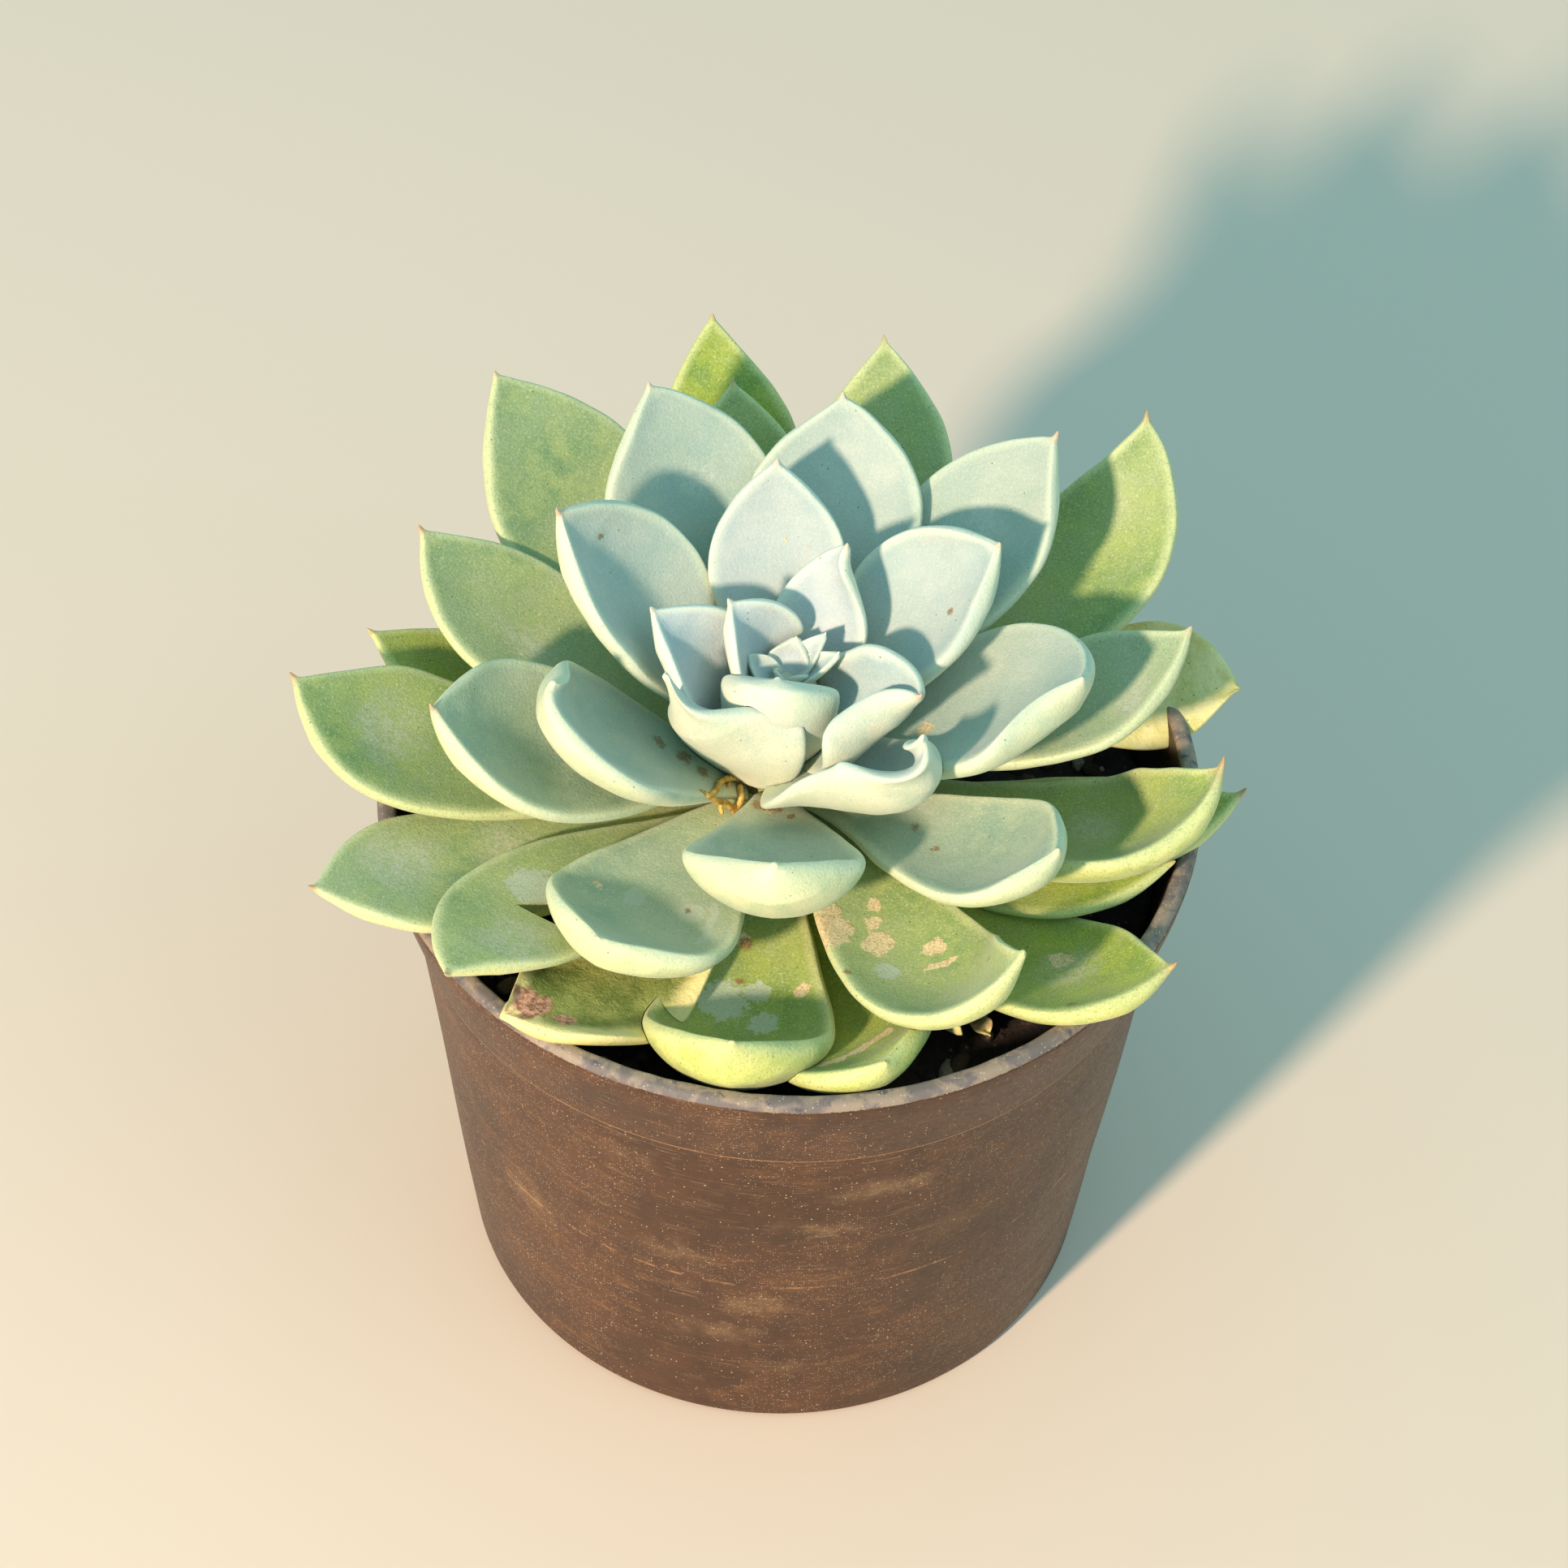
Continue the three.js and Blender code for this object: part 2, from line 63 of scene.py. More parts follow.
# Blades: the bow's factor that makes its highest point 1, how fast the horny point curves up for each
# millimetre, how square the cross-section is (2 is an ellipse), and how far the points crowd to the tip
BOW, THORN_CURVE, SQUARENESS, CROWDING = 27 / 4, 0.12, 2.35, 1.35
ROOM = 0.12  # between two blades that would cross
CRUMBS = 750


def row(name, seat, z, tip, wid, sag, cup, **more):
    """A blade in the same terms as the model's: the seat's azimuth and height on the stem, the tip as azimuth,
    radius and height, the width, and how the blade sags, cups and, where it does, sways, rolls and waves."""
    usual = dict(sway=0, roll=0, wave=0, base=4.6, widest=0.63, full=1, point=2.3, dents=[])
    return dict(usual, name=name, seat=seat, z=z, tip=tip, wid=wid, sag=sag, cup=cup, **more)


LEAVES = [
    row("dried_leaf", 296, 72.5, (301, 42.5, 78), 7, 1, 40, base=3, wave=1),
    row("leaf_01", 20, 74, (17, 59, 83), 17, -1, 25, base=3, sway=4, roll=35, widest=0.8, full=2.2, wave=0.8),
    row("leaf_02", 242, 74, (230, 52.5, 83), 20, 1.4, 18, sway=4.5, widest=0.68, point=3.4, wave=2.0),
    row("leaf_03", 335, 74.5, (344, 49, 84.5), 18, 2, 20, sway=-1.5),
    row("leaf_04", 288, 75, (285, 48.3, 85), 21.5, 7, 30, sway=-1, roll=8, widest=0.78, point=3),
    row("leaf_05", 350, 76.5, (357, 56, 86), 17, 3.5, 25, sway=-3),
    row("leaf_06", 208, 77, (204, 63, 88), 20, 2, 15, widest=0.7),
    row("leaf_07", 165, 77, (164, 56, 89), 17, 3, 20),
    row("leaf_08", 308, 77, (325, 57, 88), 21, 6, 30, sway=-4, roll=-10, widest=0.7, point=2.8),
    row("leaf_09", 222, 79, (224.5, 56.5, 90), 19, 2, 10, sway=-3),
    row("leaf_10", 100, 77.5, (102, 60, 104), 20, 4.5, 20),
    row("leaf_11", 260, 78.5, (263, 49, 90), 25, 11.5, 45, widest=0.72, point=3),
    row("leaf_12", 104, 81.5, (101, 50, 102), 19, 3, 20),
    row("leaf_13", 188, 79.5, (179, 62, 96), 22.5, 4, 20, sway=3, widest=0.7),
    row("leaf_14", 72, 81, (80, 56, 105), 20.5, 4.5, 20, sway=-2),
    row("leaf_15", 35, 80, (43, 59, 108), 21, 7, 20, sway=-5),
    row("leaf_16", 132, 81, (132, 59, 107), 25, 4.5, 20, sway=-1),
    row("leaf_17", 345, 79, (351, 53, 97), 22, 8.5, 45, sway=-4, roll=-15, widest=0.7),
    row("leaf_18", 164, 82.5, (156, 52, 102), 20, 3.5, 25, sway=1),
    row("leaf_19", 290, 80, (306, 48, 97), 20, 9.5, 34, sway=-4, point=3),
    row("leaf_20", 12, 83, (10, 49, 103), 19, 4, 30, sway=-2),
    row("leaf_21", 240, 83, (238.5, 43, 94), 25, 5.5, 30, widest=0.7, point=3),
    row("leaf_22", 315, 83, (324, 40, 98), 20, 4.5, 35, sway=-0.5, widest=0.72, point=2.8),
    row("leaf_23", 205, 84, (194, 45, 105), 24, 3.5, 30, roll=-8, point=2.6),
    row("leaf_24", 119, 85, (118, 42, 113), 24, 3, 25, sway=-1),
    row("leaf_25", 42, 86, (45, 44, 113), 21.5, 3, 25, sway=0.7),
    row("leaf_26", 70, 87, (83, 38, 112), 23, 2.5, 25, sway=-0.8),
    row("leaf_27", 345, 87, (352, 35, 108.5), 25.5, 3.2, 33, sway=1.8, roll=-5, point=2.6),
    row("leaf_28", 222, 84, (200.5, 31, 110.5), 23.5, 4.8, 34, sway=0.5, roll=6, point=2.6),
    row("leaf_29", 264, 84.5, (267, 30, 101), 24, 6, 45, widest=0.68, point=3),
    row("leaf_30", 152, 88, (158, 32, 116), 22, 2.5, 45, sway=-1.5, head=148, roll=5, widest=0.54),
    row("leaf_31", 266, 87.8, (317.5, 21.5, 107.3), 19, 5.6, 60, sway=-1, roll=-22, widest=0.46, full=0.4,
        point=2.6, dents=[(0.8, 0.24, -1, -2.6)]),
    row("leaf_32", 35, 89.5, (27, 27, 113), 21.5, 2.5, 45, sway=1.5, head=37, roll=-5, widest=0.54),
    row("leaf_33", 98, 90.5, (98, 24, 114), 17.5, 2.5, 25, widest=0.54),
    row("leaf_34", 300, 90, (335, 16.6, 106.5), 20, 0.5, 92, sway=2.4, roll=-8, widest=0.44, full=1.1,
        point=1.1, dents=[(0.72, 0.16, 1, -3)]),
    row("leaf_36", 50, 93, (67, 14, 111), 13, 1.5, 40, sway=1, widest=0.45, point=1.6),
    row("leaf_38", 120, 94, (146, 10, 108), 13.5, -1, 60, head=140, widest=0.5),
    row("leaf_37", 180, 92, (168, 18, 108), 15.5, -0.5, 55, head=145, widest=0.5, point=1.8),
    row("leaf_39", 265, 90.5, (243, 4.9, 105.5), 17.2, 1.6, 70, head=263, full=0.6, point=6),
    row("leaf_35", 252, 87, (202.5, 16.9, 108), 21.5, 1, 50, sway=0.5, head=245, widest=0.4, full=0.6,
        drawn=0.9, dents=[(0.82, 0.13, 1, 2.2), (0.48, 0.15, 1, -1.5)]),
]

HEART_LEAVES = [
    row("heart", 150, 97.6, (159, 6.3, 102.3), 4, 0, 50, base=3, head=130, widest=0.5),
    row("heart", 95, 97.6, (92, 4.7, 103), 6.5, 0.5, 60, base=4, widest=0.5, point=1.7),
    row("heart", 55, 97.6, (55, 5.8, 104), 4.5, 0, 60, base=3, widest=0.5, point=1.7),
    row("heart", 15, 97.6, (19, 5.3, 104), 5, 0.3, 60, base=3, widest=0.5, point=1.7),
    row("heart", 200, 97.6, (155, 2.8, 101), 3, 0, 60, base=2.4, head=200, widest=0.5),
    row("heart", 300, 97.6, (20, 1.6, 101), 3, 0, 60, base=2.4, head=300, widest=0.5),
]

# How far each blade has gone from the bluish young green (0) to the yellow-green of old leaves (1), where
# its height on the stem doesn't say it
AGES = {
    "dried_leaf": 1.0, "leaf_01": 1.0, "leaf_02": 1.0, "leaf_06": 0.75, "leaf_09": 0.8, "leaf_12": 0.9,
    "leaf_14": 0.85, "leaf_15": 0.85, "leaf_16": 0.75, "leaf_18": 0.75, "leaf_21": 0.5, "leaf_22": 0.45,
    "leaf_23": 0.5, "leaf_24": 0.3, "leaf_25": 0.3, "leaf_26": 0.22, "leaf_27": 0.3, "leaf_28": 0.35,
    "leaf_29": 0.4, "leaf_35": 0.12, "leaf_31": 0.15,
}

# Height on the stem of the lowest young blade, and how far below it a blade is old
YOUNG_ABOVE, AGEING = 91.5, 14

# Length of the horny point at a blade's tip in mm, where it isn't the usual 0.8
THORNS = {
    "leaf_05": 1.1, "leaf_06": 1.0, "leaf_08": 1.1, "leaf_13": 1.0, "leaf_15": 1.0, "leaf_17": 1.7,
    "leaf_18": 1.0, "leaf_23": 1.1, "leaf_25": 1.1, "leaf_30": 1.2, "leaf_34": 1.0, "leaf_36": 0.9,
    "leaf_04": 0.3, "leaf_11": 0.4, "leaf_19": 0.4, "leaf_21": 0.3, "leaf_22": 0.4, "leaf_27": 0.4,
    "leaf_28": 0.2, "leaf_29": 0.2, "leaf_31": 0.3, "leaf_35": 0.2, "leaf_39": 0.3, "leaf_02": 0.3,
    "leaf_01": 0.3, "dried_leaf": 0.4,
}

KINDS = ("cork", "rust", "dust", "grey")

# Marks on the blades: place along (0 foot, 1 tip), place across (-1 to 1), reach in mm, and kind
MARKS = {
    "leaf_19": [(0.39, -0.9, 4.6, "cork"), (0.34, -0.75, 2.4, "cork"), (0.47, -0.23, 3.0, "cork"),
        (0.41, -0.08, 1.8, "cork"), (0.57, 0.35, 2.2, "cork"), (0.36, 0.05, 1.3, "cork"),
        (0.57, -0.35, 2.4, "grey"), (0.55, -0.93, 1.2, "rust"), (0.86, 0.57, 1.1, "rust")],
    "leaf_08": [(0.71, 0.23, 2.2, "cork"), (0.6, -0.1, 1.6, "cork"), (0.84, -0.8, 1.4, "rust"),
        (0.75, 0.1, 6.0, "dust")],
    "leaf_11": [(0.54, -0.23, 4.4, "grey"), (0.5, 0.2, 2.2, "grey"), (0.61, 0.23, 2.8, "grey"),
        (0.56, -0.45, 2.6, "grey"), (0.37, -0.08, 2.2, "rust"), (0.36, -0.2, 1.6, "cork"),
        (0.47, -0.08, 1.3, "rust"), (0.5, 0.75, 1.5, "cork")],
    "leaf_21": [(0.61, -0.23, 2.2, "grey"), (0.57, 0.35, 2.6, "grey"), (0.56, 0.32, 1.1, "rust"),
        (0.66, -0.6, 1.0, "cork")],
    "leaf_09": [(0.79, 0.35, 7.0, "dust"), (0.6, -0.3, 4.5, "grey")],
    "leaf_06": [(0.78, -0.35, 8.0, "dust"), (0.55, -0.1, 6.0, "dust")],
    "leaf_13": [(0.78, -0.08, 7.0, "dust")],
    "leaf_32": [(0.71, -0.35, 1.2, "rust")],
    "leaf_30": [(0.82, -0.23, 1.0, "rust")],
    "leaf_22": [(0.39, 0.08, 1.3, "rust"), (0.5, -0.08, 1.3, "rust")],
    "leaf_02": [(0.93, -0.1, 4.2, "rust"), (0.88, 0.45, 2.4, "rust")],
    "leaf_04": [(0.86, -0.8, 1.3, "rust")],
    "leaf_27": [(0.37, -0.08, 1.5, "cork")],
    "leaf_03": [(0.6, 0.0, 6.0, "dust")],
    "leaf_24": [(0.72, -0.2, 4.0, "dust")],
    "leaf_25": [(0.7, 0.0, 5.0, "dust")],
    "leaf_17": [(0.65, 0.1, 5.0, "dust")],
    "leaf_20": [(0.8, -0.5, 4.0, "dust")],
    "leaf_01": [(0.2, 0.0, 9.0, "rust")],
    "dried_leaf": [(0.4, 0.0, 9.0, "rust")],
    "leaf_16": [(0.6, 0.2, 6.0, "dust")],
    "leaf_18": [(0.6, 0.1, 5.0, "dust")],
    "leaf_28": [(0.28, -0.08, 2.6, "rust"), (0.22, 0.2, 2.2, "rust"), (0.36, -0.3, 2.0, "rust")],
    "leaf_29": [(0.12, -0.35, 2.8, "rust"), (0.17, 0.1, 2.0, "rust"), (0.22, 0.47, 1.2, "rust"),
        (0.15, -0.1, 2.2, "cork")],
}

# Scratches, as straight runs on a blade from one place to another: start, end, reach in mm, and kind
SCRATCHES = {
    "leaf_04": [((0.86, -0.57), (0.79, 0.47), 1.0, "cork")],
    "leaf_21": [((0.5, 0.62), (0.72, 0.72), 0.8, "grey")],
    "leaf_19": [((0.62, 0.1), (0.66, 0.5), 0.6, "cork")],
}

# The torn notch in the near margin of one leaf, as a wedge seen from above
NOTCHED = "leaf_09"
NOTCH = [(-33, -25), (-19.5, -32.5), (-26.5, -21.8)]


def clamp01(x):
    return np.clip(x, 0.0, 1.0)


def smooth(x):
    x = clamp01(x)
    return x * x * (3 - 2 * x)


def mix(a, b, t):
    return a + (b - a) * t


def normal_of(v):
    return v / max(np.linalg.norm(v), 1e-12)


def round_circle(count):
    return np.linspace(0, 2 * math.pi, count, endpoint=False)


def stem_radius(z):
    rise = clamp01((np.asarray(z, float) - CROWN_START) / (CROWN_TOP - CROWN_START))
    return STEM_RADIUS * np.sqrt(1 - rise * rise)


def turn_about(v, axis, angle):
    return (v * math.cos(angle) + np.cross(axis, v) * math.sin(angle)
            + axis * axis.dot(v) * (1 - math.cos(angle)))


def leaf_frame(leaf, u):
    """The midrib's point at u and the blade's directions there: along, across and off its face."""
    start = float(stem_radius(leaf["z"])) + SEAT_GAP
    seat = math.radians(leaf["seat"])
    foot = np.array([PLANT[0] + start * math.cos(seat), PLANT[1] + start * math.sin(seat), leaf["z"]])
    azimuth, radius, height = leaf["tip"]
    heading = math.radians(azimuth)
    chord = np.array([radius * math.cos(heading), radius * math.sin(heading), height]) - foot
    back = math.radians(leaf["head"]) if "head" in leaf else math.atan2(chord[1], chord[0])
    side = np.array([-math.sin(back), math.cos(back), 0.0])
    bow = leaf["sway"] * side - leaf["sag"] * normal_of(np.cross(chord, side))
    point = foot + chord * u + bow * (BOW * u * u * (1 - u))
    along = normal_of(chord + bow * (BOW * (2 * u - 3 * u * u)))
    across = side if "head" in leaf else np.array([-along[1], along[0], 0.0])
    across = normal_of(across - along * across.dot(along))
    across = turn_about(across, along, math.radians(leaf["roll"]) * float(smooth(u / 0.5)))
    return point, along, across, np.cross(along, across)


def dents(leaf, u, v):
    """How far a margin dips at that place; each dent has its place, spread, side and depth."""
    return sum(depth * math.exp(-(((u - at) / spread) ** 2)) * smooth(side * v)
               for at, spread, side, depth in leaf["dents"])


def outline(leaf, u):
    """Half the blade's width at u, where 1 is its widest."""
    widest = leaf["widest"]
    if u < widest:
        return mix(leaf["base"] / leaf["wid"], 1, float(smooth(0.08 + 0.92 * (u / widest) ** leaf["full"])))
    past = (min(u, 1) - widest) / (1 - widest)
    if "drawn" in leaf:
        return max(0.0, mix(0.5 + 0.5 * math.cos(math.pi * past ** leaf["drawn"]), 1 - past, 0.4))
    return max(0.0, 1 - past ** leaf["point"])


# Pieces and their attributes

def make_piece(name, points, faces, values=None, smooth_shade=True):
    """An object from points in mm, with one attribute for each entry of values."""
    mesh = bpy.data.meshes.new(name)
    mesh.from_pydata([tuple(p) for p in np.asarray(points) * MM], [], faces)
    set_values(mesh, values or {})
    mesh.validate()
    mesh.update()
    if smooth_shade:
        mesh.polygons.foreach_set("use_smooth", [True] * len(mesh.polygons))
    piece = bpy.data.objects.new(name, mesh)
    bpy.context.scene.collection.objects.link(piece)
    return piece


def set_values(mesh, values):
    for key, data in values.items():
        layer = mesh.attributes.get(key) or mesh.attributes.new(key, "FLOAT", "POINT")
        layer.data.foreach_set("value", np.asarray(data, np.float32))


def even(count, **values):
    """Attributes that are the same all over."""
    return {key: np.full(count, float(value)) for key, value in values.items()}


def dress(piece, material):
    piece.data.materials.clear()
    piece.data.materials.append(material)


def wobble(points, scale, seed, amount):
    """Smooth three-way noise of that size, one vector for each point."""
    shift = Vector((seed * 7.3, seed * 3.1, seed * 5.7))
    return np.array([noise.noise_vector(Vector(p) * scale + shift) for p in points]) * amount


def joined(parts):
    """Several sets of points, faces and attributes as one."""
    points, faces, values, base = [], [], {}, 0
    for grid, cells, data in parts:
        points.append(grid)
        faces += [tuple(i + base for i in cell) for cell in cells]
        for key, item in data.items():
            values.setdefault(key, []).append(item)
        base += len(grid)
    return np.concatenate(points), faces, {key: np.concatenate(item) for key, item in values.items()}


def ring_faces(rings, sides):
    """Faces over that many rings of points, closed by one point before the first and one after the last."""
    faces = [(0, 1 + (j + 1) % sides, 1 + j) for j in range(sides)]
    for i in range(1, 1 + (rings - 1) * sides, sides):
        for j in range(sides):
            k = (j + 1) % sides
            faces.append((i + j, i + k, i + sides + k, i + sides + j))
    base = 1 + (rings - 1) * sides
    return faces + [(base + j, base + (j + 1) % sides, base + sides) for j in range(sides)]


def lathe(profile, sides):
    """Points and faces of a solid of revolution, from [radius, height] points that start and end on the axis."""
    points = [(0, 0, profile[0][1])]
    for r, z in profile[1:-1]:
        points += [(r * math.cos(a), r * math.sin(a), z) for a in round_circle(sides)]
    points.append((0, 0, profile[-1][1]))
    return np.array(points, float), ring_faces(len(profile) - 2, sides)


def prism(name, corners, low, high):
    count = len(corners)
    faces = [tuple(reversed(range(count))), tuple(range(count, 2 * count))]
    faces += [(i, (i + 1) % count, (i + 1) % count + count, i + count) for i in range(count)]
    points = [(x, y, z) for z in (low, high) for x, y in corners]
    return make_piece(name, points, faces, smooth_shade=False)


def drop(piece):
    mesh = piece.data
    bpy.data.objects.remove(piece)
    bpy.data.meshes.remove(mesh)


def cut(piece, cutters, solver):
    """The piece's mesh without the cutters, not yet in the piece."""
    for cutter in cutters:
        step = piece.modifiers.new("cut", "BOOLEAN")
        step.operation, step.object, step.solver = "DIFFERENCE", cutter, solver
    bpy.context.view_layer.update()
    mesh = bpy.data.meshes.new_from_object(piece.evaluated_get(bpy.context.evaluated_depsgraph_get()))
    piece.modifiers.clear()
    return mesh


def change_mesh(piece, mesh, name):
    old = piece.data
    piece.data = mesh
    bpy.data.meshes.remove(old)
    mesh.name = name


def largest_body(piece):
    """Leaves the piece without the slivers that a cut makes beside it."""
    mesh = bmesh.new()
    mesh.from_mesh(piece.data)
    bodies, seen = [], set()
    for first in mesh.verts:
        if first in seen:
            continue
        seen.add(first)
        body, ahead = [], [first]
        while ahead:
            here = ahead.pop()
            body.append(here)
            for edge in here.link_edges:
                other = edge.other_vert(here)
                if other not in seen:
                    seen.add(other)
                    ahead.append(other)
        bodies.append(body)
    bodies.sort(key=len)
    for body in bodies[:-1]:
        bmesh.ops.delete(mesh, geom=body, context="VERTS")
    mesh.to_mesh(piece.data)
    mesh.free()


def carve(piece, cutters, grid, values):
    """Cuts the piece by others, and gives its new points the attributes of the old ones beside them."""
    mesh = cut(piece, cutters, "MANIFOLD")
    if len(mesh.polygons) < len(piece.data.polygons) // 3:
        bpy.data.meshes.remove(mesh)
        return False
    change_mesh(piece, mesh, piece.name + "_cut")
    largest_body(piece)
    tree = KDTree(len(grid))
    for i, point in enumerate(grid):
        tree.insert(point * MM, i)
    tree.balance()
    nearest = [tree.find(v.co)[1] for v in piece.data.vertices]
    set_values(piece.data, {key: np.asarray(data)[nearest] for key, data in values.items()})
    piece.data.set_sharp_from_angle(angle=math.radians(60))
    return True


def swollen(name, grid, faces, amount):
    """The same skin, that much further out everywhere."""
    piece = make_piece(name, grid, faces)
    normals = np.empty(len(grid) * 3)
    piece.data.vertex_normals.foreach_get("vector", normals)
    piece.data.vertices.foreach_set("co", ((grid + normals.reshape(-1, 3) * amount) * MM).ravel())
    piece.data.update()
    return piece


# Blades

def blade(leaf, seed, rows, cols):
    """Points, faces and attributes of one blade, with rounded margins, a keel below and a horny point."""
    wid, cup = leaf["wid"], math.radians(leaf["cup"])
    length = float(np.linalg.norm(leaf_frame(leaf, 1)[0] - leaf_frame(leaf, 0)[0]))
    small = min(1.0, wid / 14)
    spike = THORNS.get(leaf["name"], 0.8) * small
    reach = spike * 1.9
    stations = [1 - (1 - t) ** CROWDING for t in np.linspace(0, 1, rows)]
    stations += [1 + spike / length * t for t in (0.25, 0.5, 0.75, 0.93)]
    theta = np.linspace(math.pi, 0, cols + 1)
    flat = np.sign(np.cos(theta)) * np.abs(np.cos(theta)) ** (2 / SQUARENESS)
    high = np.abs(np.sin(theta)) ** (2 / SQUARENESS)
    v = np.concatenate([flat, flat[1:-1][::-1]])
    side = np.concatenate([high, -high[1:-1][::-1]])
    points, values = [], {key: [] for key in ("along", "across", "edge", "face", "mucro")}
    for u in stations:
        inside, past = min(u, 1.0), max(0.0, (u - 1) * length)
        point, along, across, up = leaf_frame(leaf, inside)
        point = point + along * past + up * (THORN_CURVE * past ** 2)
        to_end = (1 - u) * length + spike
        thorn = 0.5 * small * min(1.0, max(0.0, to_end / reach)) ** 0.6 * float(smooth((u - 0.8) / 0.15))
        half = wid / 2 * outline(leaf, inside) if u < 1 else 0.0
        half = (half ** 3 + thorn ** 3) ** (1 / 3)
        body = min(mix(2, wid * 0.17, float(smooth(inside / 0.45))), 0.7 + half * 0.45)
        thick = body if u < 0.97 else min(body, 2.1 * half)
        belly = 0.3 * thick * np.maximum(side, 0) + 0.7 * thick * np.minimum(side, 0)
        keel = 0.07 * thick * (1 - np.abs(v)) ** 2 * float(smooth((inside - 0.35) / 0.4))
        belly = belly - keel * (side < 0)
        curl = max(0.02, cup * float(smooth(inside / 0.55)))
        over = half * np.sin(curl * v) / curl - belly * np.sin(curl * v)
        lift = half * (1 - np.cos(curl * v)) / curl + belly * np.cos(curl * v)
        lift = lift + leaf["wave"] * np.sin(15 * inside + v) * v * v * float(smooth(inside / 0.5))
        lift = lift - dents(leaf, inside, v)
        points.append(point + np.outer(over, across) + np.outer(lift, up))
        edge = np.minimum((1 - np.abs(v)) * half, max(0.0, (1 - u) * length * 0.8))
        horn = min(1, spike) ** 2 * float(smooth(1.1 - to_end / max(reach, 1.2)))
        for key, item in zip(values, (inside, v, edge, side, horn)):
            values[key].append(np.full(len(v), item))
    point, along, _, up = leaf_frame(leaf, 1.0)
    grid = np.vstack(points + [point + along * spike + up * (THORN_CURVE * spike ** 2)])
    values = {key: np.append(np.concatenate(item), at_tip)
              for (key, item), at_tip in zip(values.items(), (1, 0, 0, 0, 1))}
    # Living unevenness: broad dents and lifts, and a slightly wavering margin
    calm = ((1 - values["mucro"]) * smooth(values["along"] / 0.2))[:, None]
    broad = wobble(grid, 0.07, seed, 0.4 * small) * calm
    fine = wobble(grid, 0.3, seed + 40, 0.07 * small) * calm
    rim = wobble(grid, 0.16, seed + 80, 0.2 * small) * (calm * np.abs(values["across"])[:, None] ** 4)
    grid = grid + broad + fine + rim
    count, top = len(v), (len(stations) - 1) * len(v)
    faces = []
    for i in range(0, top, count):
        for j in range(count):
            k = (j + 1) % count
            faces.append((i + j, i + count + j, i + count + k, i + k))
    faces += [(top + j, top + count, top + (j + 1) % count) for j in range(count)]
    faces.append(tuple(range(count)))
    return grid, faces, values


def marks_on(leaf, grid, values):
    """One soft mask for each kind of mark, 1 at a mark's middle and 0 at its reach."""
    masks = {kind: np.zeros(len(grid)) for kind in KINDS}
    spots = list(MARKS.get(leaf["name"], []))
    for (u0, v0), (u1, v1), reach, kind in SCRATCHES.get(leaf["name"], []):
        spots += [(mix(u0, u1, t), mix(v0, v1, t), reach, kind) for t in np.linspace(0, 1, 24)]
    for u, v, reach, kind in spots:
        gap = np.abs(values["along"] - u) * 2 + np.abs(values["across"] - v) + (values["face"] < 0) * 10.0
        away = np.linalg.norm(grid - grid[int(np.argmin(gap))], axis=1)
        masks[kind] = np.maximum(masks[kind], clamp01(1 - away / reach))
    return masks


# Materials

def rgb(*shades):
    return (*(c / 12.92 if c <= 0.04045 else ((c + 0.055) / 1.055) ** 2.4 for c in (s / 255 for s in shades)), 1.0)


class Value:
    """A socket of a material's tree. Its sums, differences and products are math nodes."""

    def __init__(self, surface, socket):
        self.surface, self.socket = surface, socket

    def __add__(self, other):
        return self.surface.math("ADD", self, other)

    def __sub__(self, other):
        return self.surface.math("SUBTRACT", self, other)

    def __rsub__(self, other):
        return self.surface.math("SUBTRACT", other, self)

    def __mul__(self, other):
        return self.surface.math("MULTIPLY", self, other)


